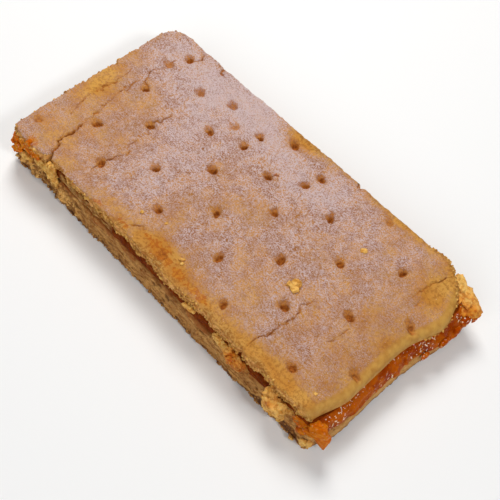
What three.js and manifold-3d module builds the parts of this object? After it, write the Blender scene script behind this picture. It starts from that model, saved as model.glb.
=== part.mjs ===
// An apricot slice: a rectangle cut from a tray of shortcrust pastry with an apricot filling.
// Millimetres, +Z up. Its length runs along X: the front end (+X) keeps the tray's curled crust,
// and the near long side (-Y) is the ragged knife cut.
import * as THREE from "three";
import { mergeVertices } from "three/addons/utils/BufferGeometryUtils.js";
import Module from "manifold-3d";

const wasm = await Module();
wasm.setup();

// Driving dimensions.
const baseTop = 8;
const fillingTop = 12;
const sliceTop = 16;
const touchGap = 0.3;

// Each layer's plan is a rectangle with rounded corners. The corner radii run near left, near
// front, far left, far front. The front edge bows out by frontBulge round frontBulgeY, and it
// draws back by nearRetreat over nearRetreatLength before the near corner. The crust's near edge
// steps out by nearStep left of nearStepX, where the crust is cracked through.
const crustPlan = {
  left: -60.1, right: 61.9, near: -29.3, far: 32.3, radii: [1.6, 1.6, 7.5, 8],
  frontBulge: 3.5, frontBulgeY: 17.5, frontBulgeWidth: 8.5, nearRetreat: 2.7, nearRetreatLength: 13,
  raggedNear: 0.5, raggedElsewhere: 0.22, nearStep: 0.9, nearStepX: -44, seed: 1,
};
const fillingPlan = {
  left: -60.2, right: 64.8, near: -29.2, far: 32.3, radii: [3, 2.5, 6.5, 6],
  frontBulge: 3.5, frontBulgeY: 20, frontBulgeWidth: 11, nearRetreat: 1.8, nearRetreatLength: 11,
  raggedNear: 0.55, raggedElsewhere: 0.4, nearStep: 0, nearStepX: 0, seed: 2,
};
const basePlan = {
  left: -60.8, right: 64.8, near: -30.9, far: 33, radii: [1.6, 2.5, 7.5, 6],
  frontBulge: 2.6, frontBulgeY: 22, frontBulgeWidth: 13, nearRetreat: 2.6, nearRetreatLength: 11,
  raggedNear: 0.35, raggedElsewhere: 0.22, nearStep: 0, nearStepX: 0, seed: 3,
};

// The grid that carries a layer's top and its outline: cells along the length and across.
const cellsLong = 40;
const cellsAcross = 20;

// How far in from an edge its bow and its raggedness reach.
const edgeDepth = 14;

// The top crust's surface: rims rounded off, the front end curled down over the filling, and the
// far front corner sunk where the crust has broken along a fold.
const rimRadius = 1.1;
const curlRadius = 2.6;
const curlStart = 50;
const curlDrop = 1.2;
const flapFold = { x: 55.5, y: 6, sink: 0.9 };
const topWaviness = 0.22;

// Docker holes as [x, y, depth]. They stand in rows about 12 mm apart, each row's holes about
// 20 mm apart, with a few strays where the docker was run over the dough twice.
const holeMouth = 1.25;
const holeEnd = 0.65;
const dockerHoles = [
  [-56.4, -23.3, 0.8],
  [-45.5, 25.5, 2], [-48, 19.2, 0.8], [-45.4, 7.6, 2.3], [-44.5, -11.5, 2.1],
  [-33.7, 19.4, 0.9], [-34, -0.2, 2.4], [-32.8, -19.5, 2.4],
  [-24, 23.5, 0.8], [-18, 18.5, 0.7], [-21.3, 11.5, 2.1], [-21.5, -9, 2.5],
  [-10.2, 21.5, 2.4], [-11, 15.5, 2.3], [-10.4, 3, 2.6], [-10.5, -17.5, 2.3],
  [-1.5, 27.2, 2.5], [1.3, 13.5, 2.4], [0.7, -6.1, 2.6], [1.1, -26.3, 1],
  [11.9, 24.6, 2], [10.4, 19.5, 1.7], [11.3, 6.2, 2.3], [11.5, -15.4, 2.1],
  [22.8, 16.7, 2.4], [23, -3.1, 2.3], [22.5, -24, 2],
  [34.6, 28.7, 0.8], [34.5, 8.3, 2.1], [33.6, -12.2, 2.5],
  [47.8, 19.2, 2.5], [47.1, -1.5, 2], [47.1, -22.9, 2.1],
  [60.1, 8.7, 1.3], [59.4, -12.2, 1.2],
];

// Cracks in the top crust, each along a few points, with its width at the surface and its depth.
const cracks = [
  { width: 1.1, depth: 2.6, points: [[-43.2, -31.5], [-46.1, -24.1], [-47.4, -19.2], [-47.6, -13.2]] },
  { width: 0.5, depth: 1.1, points: [[-33.2, -21], [-32.7, -19.3], [-32, -15.3], [-31.3, -10]] },
  { width: 0.6, depth: 1.6, points: [[38.1, -4.2], [36.7, -11.1], [36.6, -19.4], [34.2, -28.5]] },
  { width: 0.7, depth: 1.2, points: [[57.2, 29.8], [55.9, 25.6], [54.4, 20.6], [54.2, 13]] },
];

// Broken pieces that cling to the slice: centre, half sizes, turn about Z in degrees, how far the
// foot narrows (taper) and how far it leans over in x and y (lean).
const squeeze = {
  centre: [62.2, -28.2, 7.6], half: [3.8, 1.9, 5.2], turn: 22, bumps: 0.12, seed: 6, taper: 0.8, lean: [2.9, 0.5],
};
const chunk = {
  centre: [49.6, -30.5, 8.4], half: [4, 1.9, 3.9], turn: 4, bumps: 0.14, seed: 7, taper: 0.15, lean: [0, 0],
};
const rubble = {
  centre: [31.8, -29.9, 9.6], half: [6.4, 1.6, 2.2], turn: -4, bumps: 0.18, seed: 8, taper: 0, lean: [0, 0],
};
const flake = {
  centre: [30.9, -5.8, 16.5], half: [1.9, 1.9, 0.85], turn: 20, bumps: 0.2, seed: 9, taper: 0, lean: [0, 0],
};
const lumpDetail = 3;

// The far front corner's broken crust, a flake whose top slopes: its outline, its bottom and top
// heights, and how much the top rises for each mm along x and along y.
const scrap = {
  outline: [
    [57, 29.6], [60.6, 27.6], [63.6, 25.4], [65.4, 23.4], [66.9, 25.2], [68.2, 27.2], [69.7, 29], [69.3, 30.3],
    [67.6, 30.8], [65.5, 31.9], [64.2, 32.1], [62.8, 33.1], [61.2, 32.5], [59.8, 33.4], [58.2, 34], [56.8, 32.6],
    [56.4, 31.2],
  ],
  low: 8.3, high: 12, rise: [-0.13, 0.06],
};

function smooth(t) {
  const s = Math.min(Math.max(t, 0), 1);
  return s * s * (3 - 2 * s);
}

// A gentle unevenness between about -1 and 1: three sine waves whose lengths don't fit each other.
function uneven(x, y, seed) {
  const a = Math.sin(0.33 * x + 1.7 * seed + 0.21 * y);
  const b = Math.sin(0.71 * y - 0.4 * x + 2.9 * seed);
  const c = Math.sin(1.13 * x + 0.83 * y + 4.1 * seed);
  return (a + b + 0.8 * c) / 2.8;
}

// The place in plan of grid point (u, v), each from -1 to 1, with the outline pulled in by inset.
// In a corner's radius the square patch is drawn in to a quarter disc. Then the outline's bow,
// its retreat and its raggedness move the point, less and less towards the middle.
function planPoint(plan, u, v, inset) {
  const halfX = (plan.right - plan.left) / 2 - inset;
  const halfY = (plan.far - plan.near) / 2 - inset;
  const corner = (v > 0 ? 2 : 0) + (u > 0 ? 1 : 0);
  const radius = Math.max(plan.radii[corner] - inset, 0.5);
  const alongX = Math.abs(u) * halfX;
  const alongY = Math.abs(v) * halfY;
  const overX = Math.max(alongX - halfX + radius, 0);
  const overY = Math.max(alongY - halfY + radius, 0);
  const pull = overX > 0 && overY > 0 ? Math.max(overX, overY) / Math.hypot(overX, overY) : 1;
  let x = (plan.left + plan.right) / 2 + Math.sign(u) * (alongX - overX + overX * pull);
  let y = (plan.near + plan.far) / 2 + Math.sign(v) * (alongY - overY + overY * pull);
  const frontness = smooth(1 - (plan.right - x) / edgeDepth);
  const leftness = smooth(1 - (x - plan.left) / edgeDepth);
  const nearness = smooth(1 - (y - plan.near) / edgeDepth);
  const farness = smooth(1 - (plan.far - y) / edgeDepth);
  const bulge = plan.frontBulge * Math.exp(-(((y - plan.frontBulgeY) / plan.frontBulgeWidth) ** 2));
  const retreat = plan.nearRetreat * smooth((plan.near + plan.nearRetreatLength - y) / plan.nearRetreatLength);
  const rag = uneven(x, y, plan.seed);
  const step = plan.nearStep * smooth((plan.nearStepX - x) / 3);
  x += frontness * (bulge - retreat) + (frontness - leftness) * plan.raggedElsewhere * rag;
  y += farness * plan.raggedElsewhere * rag - nearness * (plan.raggedNear * rag + step);
  return [x, y];
}

// The grid's border points, anticlockwise from the near left corner, as [u, v] pairs.
function borderLoop() {
  const loop = [];
  for (let i = 0; i < cellsLong; i++) loop.push([-1 + (2 * i) / cellsLong, -1]);
  for (let j = 0; j < cellsAcross; j++) loop.push([1, -1 + (2 * j) / cellsAcross]);
  for (let i = 0; i < cellsLong; i++) loop.push([1 - (2 * i) / cellsLong, 1]);
  for (let j = 0; j < cellsAcross; j++) loop.push([-1, 1 - (2 * j) / cellsAcross]);
  return loop;
}

function geometryOf(points, faces) {
  const geometry = new THREE.BufferGeometry();
  geometry.setAttribute("position", new THREE.Float32BufferAttribute(points.flat(), 3));
  geometry.setIndex(faces.flat());
  geometry.computeVertexNormals();
  return geometry;
}

// The faces of a wall between two loops of count points, the upper one starting at vertex upper.
function wallFaces(upper, lower, count) {
  const faces = [];
  for (let k = 0; k < count; k++) {
    const next = (k + 1) % count;
    faces.push([upper + k, lower + k, lower + next], [upper + k, lower + next, upper + next]);
  }
  return faces;
}

// A flat cap over the loop that starts at vertex first, facing up or down.
function capFaces(points, first, count, facesUp) {
  const contour = points.slice(first, first + count).map((p) => new THREE.Vector2(p[0], p[1]));
  return THREE.ShapeUtils.triangulateShape(contour, []).map(([a, b, c]) =>
    facesUp ? [first + a, first + b, first + c] : [first + a, first + c, first + b]
  );
}

// A layer with level top and bottom: its wall is a stack of loops, one for each [inset, height]
// that the profile gives for a border point.
function slabGeometry(plan, profile) {
  const loop = borderLoop();
  const points = [];
  const faces = [];
  const steps = profile(0, 0).length;
  for (let k = 0; k < steps; k++) {
    for (const [u, v] of loop) {
      const [inset, z] = profile(u, v)[k];
      points.push([...planPoint(plan, u, v, inset), z]);
    }
    if (k > 0) faces.push(...wallFaces((k - 1) * loop.length, k * loop.length, loop.length));
  }
  faces.push(...capFaces(points, 0, loop.length, true));
  faces.push(...capFaces(points, (steps - 1) * loop.length, loop.length, false));
  return geometryOf(points, faces);
}

// The base's cut sides lean out a little towards the table, and its front end is upright. With
// grow it is that much bigger.
function baseGeometry(grow) {
  const sideLean = 1.2;
  const bottomRim = 0.5;
  return slabGeometry(basePlan, (u) => {
    const lean = sideLean * (1 - smooth((u - 0.9) / 0.1));
    return [
      [lean + 0.7 - grow, baseTop + grow],
      [lean - grow, baseTop - 0.6],
      [lean * 0.45 - grow, baseTop * 0.55],
      [-grow, 1.4],
      [bottomRim - grow, -grow],
    ];
  });
}

// The filling is set back at the sides. At the front it slopes out from under the crust's curl
// to the edge of the base, and swells.
function fillingGeometry(grow) {
  const low = baseTop + touchGap;
  const high = fillingTop - touchGap;
  const slope = 2.6;
  return slabGeometry(fillingPlan, (u) => {
    const front = smooth((u - 0.93) / 0.07);
    return [
      [0.9 + slope * front - grow, high + grow],
      [0.3 + 0.55 * slope * front - grow, high - 0.9],
      [0.12 * slope * front - grow, (low + high) / 2 - 0.2],
      [0.2 - grow, low + 0.5],
      [0.7 - grow, low - grow],
    ];
  });
}

// Height of the top crust's surface in plan: the general level, waves, curl and sunken flap.
function crustHeight(x, y) {
  const curl = curlDrop * smooth((x - curlStart) / (crustPlan.right - curlStart)) ** 2;
  const flap = flapFold.sink * smooth((x - flapFold.x + 1) / 2) * smooth((y - flapFold.y) / 10);
  return sliceTop - curl - flap + topWaviness * uneven(0.5 * x, 0.5 * y, 9);
}

// The top crust: a grid of cells for its surface, a rounded rim, and a flat underside.
function crustGeometry(grow) {
  const rimSteps = 4;
  const under = fillingTop - grow;
  const rimAt = (u) => rimRadius + (curlRadius - rimRadius) * smooth((u - 0.9) / 0.1);
  const points = [];
  const faces = [];
  const columns = cellsLong + 1;
  for (let j = 0; j <= cellsAcross; j++) {
    for (let i = 0; i <= cellsLong; i++) {
      const u = -1 + (2 * i) / cellsLong;
      const v = -1 + (2 * j) / cellsAcross;
      const [x, y] = planPoint(crustPlan, u, v, rimAt(u) - grow);
      points.push([x, y, crustHeight(x, y) + grow]);
      if (i > 0 && j > 0) {
        const here = j * columns + i;
        faces.push([here - columns - 1, here - columns, here], [here - columns - 1, here, here - 1]);
      }
    }
  }
  const loop = borderLoop();
  let upper = loop.map(([u, v]) => {
    const i = Math.round(((u + 1) / 2) * cellsLong);
    const j = Math.round(((v + 1) / 2) * cellsAcross);
    return j * columns + i;
  });
  for (let k = 1; k <= rimSteps + 1; k++) {
    const first = points.length;
    const angle = (Math.min(k, rimSteps) / rimSteps) * (Math.PI / 2);
    for (const [u, v] of loop) {
      const rim = rimAt(u);
      const [topX, topY] = planPoint(crustPlan, u, v, rim - grow);
      const inset = k > rimSteps ? 0.35 * rim : rim * (1 - Math.sin(angle));
      const z = k > rimSteps ? under : crustHeight(topX, topY) + grow - rim * (1 - Math.cos(angle));
      points.push([...planPoint(crustPlan, u, v, inset - grow), Math.max(z, under)]);
    }
    const lower = loop.map((_, n) => first + n);
    for (let n = 0; n < loop.length; n++) {
      const next = (n + 1) % loop.length;
      faces.push([upper[n], lower[n], lower[next]], [upper[n], lower[next], upper[next]]);
    }
    upper = lower;
  }
  faces.push(...capFaces(points, points.length - loop.length, loop.length, false));
  return geometryOf(points, faces);
}

// A crumbly lump: a ball of small faces, squared up, its radius uneven, stretched to its half sizes,
// then narrowed and leaned over towards its foot.
function lumpGeometry({ centre, half, turn, bumps, seed, taper, lean }) {
  const squared = (t) => Math.sign(t) * Math.abs(t) ** 0.75;
  const halfSize = new THREE.Vector3(...half);
  const ball = new THREE.IcosahedronGeometry(1, lumpDetail);
  const place = ball.getAttribute("position");
  const p = new THREE.Vector3();
  for (let n = 0; n < place.count; n++) {
    p.fromBufferAttribute(place, n);
    const swell = 1 + bumps * uneven(9 * p.x + 3 * p.z, 7 * p.y - 5 * p.z, seed);
    p.set(squared(p.x), squared(p.y), squared(p.z)).multiplyScalar(swell).multiply(halfSize);
    const low = 0.5 - 0.5 * THREE.MathUtils.clamp(p.z / half[2], -1, 1);
    p.x *= 1 - taper * low;
    p.y *= 1 - taper * low;
    p.applyAxisAngle(new THREE.Vector3(0, 0, 1), THREE.MathUtils.degToRad(turn));
    place.setXYZ(n, p.x + centre[0] + low * lean[0], p.y + centre[1] + low * lean[1], p.z + centre[2]);
  }
  return ball;
}

// A flake: its outline drawn up from its bottom to its sloping top.
function flakeGeometry({ outline, low, high, rise }) {
  const count = outline.length;
  const middleX = outline.reduce((sum, [x]) => sum + x, 0) / count;
  const middleY = outline.reduce((sum, [, y]) => sum + y, 0) / count;
  const top = outline.map(([x, y]) => [x, y, high + rise[0] * (x - middleX) + rise[1] * (y - middleY)]);
  const points = [...top, ...outline.map(([x, y]) => [x, y, low])];
  const faces = [...wallFaces(0, count, count), ...capFaces(points, 0, count, true)];
  faces.push(...capFaces(points, count, count, false));
  return geometryOf(points, faces);
}

// One docker hole: a cone with eight sides that narrows down into the crust.
function holeGeometry([x, y, depth]) {
  const above = 1.5;
  const height = depth + above;
  const end = holeMouth - ((holeMouth - holeEnd) * Math.min(depth, 2)) / 2;
  const flare = holeMouth + ((holeMouth - end) * above) / depth;
  const cone = new THREE.CylinderGeometry(flare, end, height, 8);
  cone.rotateX(Math.PI / 2);
  cone.translate(x, y, crustHeight(x, y) - depth + height / 2);
  return cone;
}

// A crack: a wedge along a few points, at full width in its middle and pointed at its ends.
function crackGeometry({ width, depth, points: route }) {
  const above = 1.5;
  const stations = 14;
  const curve = new THREE.CatmullRomCurve3(route.map(([x, y]) => new THREE.Vector3(x, y, 0)));
  const points = [];
  const faces = [];
  for (let k = 0; k <= stations; k++) {
    const t = k / stations;
    const at = curve.getPoint(t);
    const along = curve.getTangent(t);
    const share = 0.15 + 0.85 * Math.sin(Math.PI * t);
    const reach = (width / 2) * share * (1 + above / depth);
    const surface = crustHeight(at.x, at.y);
    points.push([at.x - along.y * reach, at.y + along.x * reach, surface + above]);
    points.push([at.x + along.y * reach, at.y - along.x * reach, surface + above]);
    points.push([at.x, at.y, surface - depth * share]);
    if (k > 0) {
      const here = 3 * k;
      for (let side = 0; side < 3; side++) {
        const next = (side + 1) % 3;
        faces.push([here - 3 + side, here - 3 + next, here + next], [here - 3 + side, here + next, here + side]);
      }
    }
  }
  const last = 3 * stations;
  faces.push([0, 2, 1], [last, last + 1, last + 2]);
  return geometryOf(points, faces);
}

// A closed geometry as a solid that can be cut, and a solid as a geometry again.
function solidOf(geometry) {
  const bare = geometry.clone();
  bare.deleteAttribute("normal");
  bare.deleteAttribute("uv");
  const merged = mergeVertices(bare, 1e-4);
  const vertProperties = new Float32Array(merged.getAttribute("position").array);
  const triVerts = new Uint32Array(merged.getIndex().array);
  return new wasm.Manifold(new wasm.Mesh({ numProp: 3, vertProperties, triVerts }));
}

function geometryOfSolid(solid) {
  const mesh = solid.getMesh();
  const geometry = new THREE.BufferGeometry();
  geometry.setAttribute("position", new THREE.BufferAttribute(new Float32Array(mesh.vertProperties), 3));
  geometry.setIndex(new THREE.BufferAttribute(new Uint32Array(mesh.triVerts), 1));
  geometry.computeVertexNormals();
  return geometry;
}

function cut(solid, tools) {
  return tools.reduce((rest, tool) => rest.subtract(solidOf(tool)), solid);
}

const materials = {
  crust: new THREE.MeshStandardMaterial({ color: 0xc69a78, roughness: 0.85, metalness: 0 }),
  filling: new THREE.MeshStandardMaterial({ color: 0xb45a10, roughness: 0.25, metalness: 0 }),
  base: new THREE.MeshStandardMaterial({ color: 0xa98150, roughness: 0.9, metalness: 0 }),
  crumb: new THREE.MeshStandardMaterial({ color: 0xc79a55, roughness: 0.9, metalness: 0 }),
};

const slice = new THREE.Group();

function add(name, geometry, material) {
  const mesh = new THREE.Mesh(geometry, material);
  mesh.name = name;
  slice.add(mesh);
}

const pits = [...dockerHoles.map(holeGeometry), ...cracks.map(crackGeometry)];
const crust = cut(solidOf(crustGeometry(0)), pits);
add("top_crust", geometryOfSolid(crust), materials.crust);
add("apricot_filling", fillingGeometry(0), materials.filling);
add("base_crust", baseGeometry(0), materials.base);

// Each clinging piece is cut back from the layers that it lies against, and the largest of what is
// left of it is kept.
const layersGrown = [crustGeometry(touchGap), fillingGeometry(touchGap), baseGeometry(touchGap)];
const clinging = {
  corner_scrap: flakeGeometry(scrap),
  corner_squeeze: lumpGeometry(squeeze),
  side_chunk: lumpGeometry(chunk),
  side_rubble: lumpGeometry(rubble),
  top_crumb: lumpGeometry(flake),
};
for (const [name, geometry] of Object.entries(clinging)) {
  const whole = cut(solidOf(geometry), layersGrown);
  const largest = whole.decompose().sort((a, b) => b.volume() - a.volume())[0];
  const material = name === "corner_squeeze" ? materials.filling : materials.crumb;
  add(name, geometryOfSolid(largest), material);
}

// The origin is the middle of the slice's box, on the surface that it rests on.
const extent = new THREE.Box3().setFromObject(slice);
const middle = extent.getCenter(new THREE.Vector3());
slice.position.set(-middle.x, -middle.y, -extent.min.z);

export default slice;
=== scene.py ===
import math

import bpy
import numpy as np
from mathutils import Matrix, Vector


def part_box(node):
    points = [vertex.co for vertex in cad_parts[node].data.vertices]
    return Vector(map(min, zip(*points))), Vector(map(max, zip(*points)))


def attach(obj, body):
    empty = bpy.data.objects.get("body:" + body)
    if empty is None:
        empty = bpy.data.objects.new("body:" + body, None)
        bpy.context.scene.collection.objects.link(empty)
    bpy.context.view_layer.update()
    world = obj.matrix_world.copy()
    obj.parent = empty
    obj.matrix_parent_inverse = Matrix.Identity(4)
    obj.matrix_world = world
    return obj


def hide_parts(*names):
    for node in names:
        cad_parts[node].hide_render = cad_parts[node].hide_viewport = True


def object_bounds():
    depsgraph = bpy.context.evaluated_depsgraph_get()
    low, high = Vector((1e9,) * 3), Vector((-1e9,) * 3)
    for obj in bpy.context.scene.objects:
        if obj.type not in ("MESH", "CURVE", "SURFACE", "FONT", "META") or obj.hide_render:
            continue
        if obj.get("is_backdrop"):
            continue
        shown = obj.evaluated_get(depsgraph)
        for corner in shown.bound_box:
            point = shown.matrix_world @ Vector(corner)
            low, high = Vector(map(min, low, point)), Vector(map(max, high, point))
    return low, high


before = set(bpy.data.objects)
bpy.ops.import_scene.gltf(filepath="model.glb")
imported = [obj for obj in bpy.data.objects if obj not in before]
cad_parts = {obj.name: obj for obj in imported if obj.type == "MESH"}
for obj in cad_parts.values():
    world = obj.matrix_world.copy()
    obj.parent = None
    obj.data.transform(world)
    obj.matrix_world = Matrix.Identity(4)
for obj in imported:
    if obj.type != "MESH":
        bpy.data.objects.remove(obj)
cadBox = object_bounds()

# shapes are worked out in millimetres from one point of the slice, at table level, which is
# fromLeft in from the crust's left end and fromNear in from its near side, and moved there last
mm = 0.001
fromLeft, fromNear = 60.29, 30.32
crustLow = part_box("top_crust")[0]
sliceOrigin = np.array([crustLow.x + fromLeft * mm, crustLow.y + fromNear * mm, 0.0])
sliceTop, baseTop = 16.0, 8.0

scene = bpy.context.scene


# 0 below 0, 1 above 1, and 3tt - 2ttt between
def ease(t):
    t = np.clip(t, 0.0, 1.0)
    return t * t * (3.0 - 2.0 * t)


# 1 at 0 and falling away on both sides: e to the power of minus t squared
def bell(t):
    return np.exp(-(t ** 2))


noiseTable = np.random.default_rng(7).uniform(-1.0, 1.0, (64, 64, 64))


# smooth random lumps of one size, from -1 to 1: random numbers on a 64-cell lattice, each point
# taking the eight round it, weighted by the ease of its place in the cell
def lumps(x, y, z, size, seed=0):
    places = [np.asarray(c, float) / size + 13.7 * seed + 5.1 * k for k, c in enumerate((x, y, z))]
    places = np.broadcast_arrays(*places)
    cells = [np.floor(c).astype(int) for c in places]
    parts = [ease(c - cell) for c, cell in zip(places, cells)]
    total = np.zeros(places[0].shape)
    for dx, dy, dz in np.ndindex(2, 2, 2):
        share = (parts[0] if dx else 1 - parts[0]) * (parts[1] if dy else 1 - parts[1])
        share = share * (parts[2] if dz else 1 - parts[2])
        total += share * noiseTable[(cells[0] + dx) & 63, (cells[1] + dy) & 63, (cells[2] + dz) & 63]
    return total


# lumps of a size, plus half as much at half the size, and so on
def crumble(x, y, z, size, octaves=3, seed=0):
    total = 0.0
    for k in range(octaves):
        total = total + lumps(x, y, z, size / 2 ** k, seed + k) / 2 ** k
    return total


# sum of soft round patches (x, y, size along x, size along y, amount)
def sumPatches(x, y, patches):
    total = 0.0
    for centreX, centreY, sizeX, sizeY, amount in patches:
        total = total + amount * bell((x - centreX) / sizeX) * bell((y - centreY) / sizeY)
    return total


# the way to each point from the nearest place on a line through a few points, and how far along
# the line that place is, 0 to 1
def distanceToRoute(x, y, route):
    route = np.array(route, float)
    lengths = np.hypot(*np.diff(route, axis=0).T)
    reached = np.concatenate([[0.0], np.cumsum(lengths)])
    offX, offY, along = np.full(np.shape(x), 1e6), np.full(np.shape(x), 1e6), np.zeros(np.shape(x))
    for k in range(len(lengths)):
        startX, startY = route[k]
        stepX, stepY = route[k + 1] - route[k]
        t = np.clip(((x - startX) * stepX + (y - startY) * stepY) / lengths[k] ** 2, 0.0, 1.0)
        awayX, awayY = x - startX - t * stepX, y - startY - t * stepY
        closer = np.hypot(awayX, awayY) < np.hypot(offX, offY)
        offX, offY = np.where(closer, awayX, offX), np.where(closer, awayY, offY)
        along = np.where(closer, (reached[k] + t * lengths[k]) / reached[-1], along)
    return offX, offY, along


# the place in plan of grid point (u, v), each from -1 to 1, on a rounded rectangle drawn in by
# insetX and insetY: in a corner's radius the square patch is drawn in to a quarter disc. Then
# the front edge bows out round bulgeY and draws back towards the near corner
def planPoint(plan, u, v, insetX, insetY):
    halfX = (plan["right"] - plan["left"]) / 2 - insetX
    halfY = (plan["far"] - plan["near"]) / 2 - insetY
    corner = np.where(v > 0, 2, 0) + np.where(u > 0, 1, 0)
    radius = np.maximum(np.array(plan["radii"])[corner] - 0.5 * (insetX + insetY), 0.4)
    alongX, alongY = np.abs(u) * halfX, np.abs(v) * halfY
    overX = np.maximum(alongX - halfX + radius, 0.0)
    overY = np.maximum(alongY - halfY + radius, 0.0)
    reach = np.maximum(np.hypot(overX, overY), 1e-9)
    pull = np.where((overX > 0) & (overY > 0), np.maximum(overX, overY) / reach, 1.0)
    x = (plan["left"] + plan["right"]) / 2 + np.sign(u) * (alongX - overX + overX * pull)
    y = (plan["near"] + plan["far"]) / 2 + np.sign(v) * (alongY - overY + overY * pull)
    frontness = ease(1 - (plan["right"] - x) / plan["edgeDepth"])
    bulge = plan["bulge"] * bell((y - plan["bulgeY"]) / plan["bulgeWidth"])
    retreat = plan["retreat"] * ease((plan["near"] + plan["retreatLength"] - y) / plan["retreatLength"])
    return raggedEdges(plan, x + frontness * (bulge - retreat), y)


edgeWaves = ((9.0, 1.0, 12.0), (2.6, 0.75, 4.0), (1.1, 0.45, 1.6))  # lump size, amount, reach inwards


# every edge wanders: outward by the edge's waves times the side's own amount, and back by nicks
# cut in at named places
def raggedEdges(plan, x, y):
    sides = {
        "near": (y - plan["near"], 0, -1), "far": (plan["far"] - y, 0, 1),
        "left": (x - plan["left"], -1, 0), "front": (plan["right"] - x, 1, 0),
    }
    moveX, moveY = np.zeros(np.shape(x)), np.zeros(np.shape(x))
    for side, (depth, outX, outY) in sides.items():
        along = x if outY else y
        push = 0.0
        for size, share, stop in edgeWaves:
            wave = lumps(along, 3.0 * outX + 7.0 * outY, plan["seed"], size, plan["seed"])
            push = push + plan["rag"][side] * share * wave * ease(1 - depth / stop)
        for nickSide, place, width, cut in plan["nicks"]:
            if nickSide == side:
                push = push - cut * bell((along - place) / width) * ease(1 - depth / 3.0)
        moveX, moveY = moveX + outX * push, moveY + outY * push
    return x + moveX, y + moveY


# columns and rows of a grid's border, anticlockwise from the near left corner
def borderLoop(long, across):
    i, j = np.arange(long), np.arange(across)
    columns = [i, 0 * j + long, long - i, 0 * j]
    rows = [0 * i, j, 0 * i + across, across - j]
    return np.concatenate(columns), np.concatenate(rows)


# the border's points as places from -1 to 1
def borderPlaces(long, across):
    i, j = borderLoop(long, across)
    return -1 + 2 * i / long, -1 + 2 * j / across


# the whole grid's points as places from -1 to 1
def gridPlaces(long, across):
    return np.meshgrid(np.linspace(-1, 1, long + 1), np.linspace(-1, 1, across + 1))


# the quads of a grid whose points are numbered row by row from first
def gridQuads(long, across, first, facesUp):
    ids = first + np.arange((across + 1) * (long + 1)).reshape(across + 1, long + 1)
    quads = np.stack([ids[:-1, :-1], ids[:-1, 1:], ids[1:, 1:], ids[1:, :-1]], -1).reshape(-1, 4)
    return quads if facesUp else quads[:, ::-1]


# the outward direction at each point: the sum of its faces' normals, each by its area
def pointNormals(points, quads, tris):
    faces = np.concatenate([quads[:, :3], quads[:, [0, 2, 3]], tris])
    a, b, c = (points[faces[:, k]] for k in range(3))
    facing = np.cross(b - a, c - a)
    total = np.zeros_like(points)
    for k in range(3):
        for axis in range(3):
            total[:, axis] += np.bincount(faces[:, k], facing[:, axis], len(points))
    return total / np.maximum(np.linalg.norm(total, axis=1, keepdims=True), 1e-12)


# a layer's body. The wall is loops from top to bottom, each row a function of the border's
# (u, v) giving x, y, z. A loop is closed by rings with half, a quarter and an eighth of its
# points, then a coarse grid. Marks are 0 on top, the share of the way down on the wall, and 1
# on what closes a loop
class Layer:
    def __init__(self, long, across):
        self.cells = long, across
        self.points, self.quads, self.tris, self.marks = [], [], [], []
        self.count = 0

    def add(self, x, y, z, mark):
        block = np.stack([np.ravel(x), np.ravel(y), np.ravel(z)], -1)
        self.points.append(block)
        self.marks.append(np.full(len(block), float(mark)))
        self.count += len(block)
        return np.arange(self.count - len(block), self.count)

    def topGrid(self, surface):
        self.add(*surface(*gridPlaces(*self.cells)), 0.0)
        self.quads.append(gridQuads(*self.cells, 0, True))
        i, j = borderLoop(*self.cells)
        return j * (self.cells[0] + 1) + i

    def wall(self, loop, rows):
        for k, row in enumerate(rows):
            lower = self.add(*row(*borderPlaces(*self.cells)), (k + 1) / len(rows))
            self.quads.append(np.stack([loop, lower, np.roll(lower, -1), np.roll(loop, -1)], -1))
            loop = lower
        return loop

    def close(self, loop, surface, insets, facesUp):
        long, across = self.cells
        for inset in insets:
            long, across = long // 2, across // 2
            ring = self.add(*surface(*borderPlaces(long, across), inset), 1.0)
            a, b, c, ahead = loop[0::2], loop[1::2], np.roll(loop, -2)[0::2], np.roll(ring, -1)
            fans = [np.stack(fan, -1) for fan in ((a, b, ring), (b, c, ahead), (b, ahead, ring))]
            self.tris += [fan if facesUp else fan[:, ::-1] for fan in fans]
            loop = ring
        first = self.count
        self.add(*surface(*gridPlaces(long, across), insets[-1]), 1.0)
        i, j = borderLoop(long, across)
        renamed = np.arange(self.count)
        renamed[first + j * (long + 1) + i] = loop
        self.quads.append(renamed[gridQuads(long, across, first, facesUp)])

    # the arrays and the outward directions, without the coarse grids' own border points, which
    # the last rings stand for
    def arrays(self):
        points, marks = np.concatenate(self.points), np.concatenate(self.marks)
        quads, tris = np.concatenate(self.quads), np.concatenate(self.tris)
        used = np.zeros(len(points), bool)
        used[quads.ravel()] = used[tris.ravel()] = True
        place = np.cumsum(used) - 1
        points, quads, tris = points[used], place[quads], place[tris]
        return points, quads, tris, marks[used], pointNormals(points, quads, tris)


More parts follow.
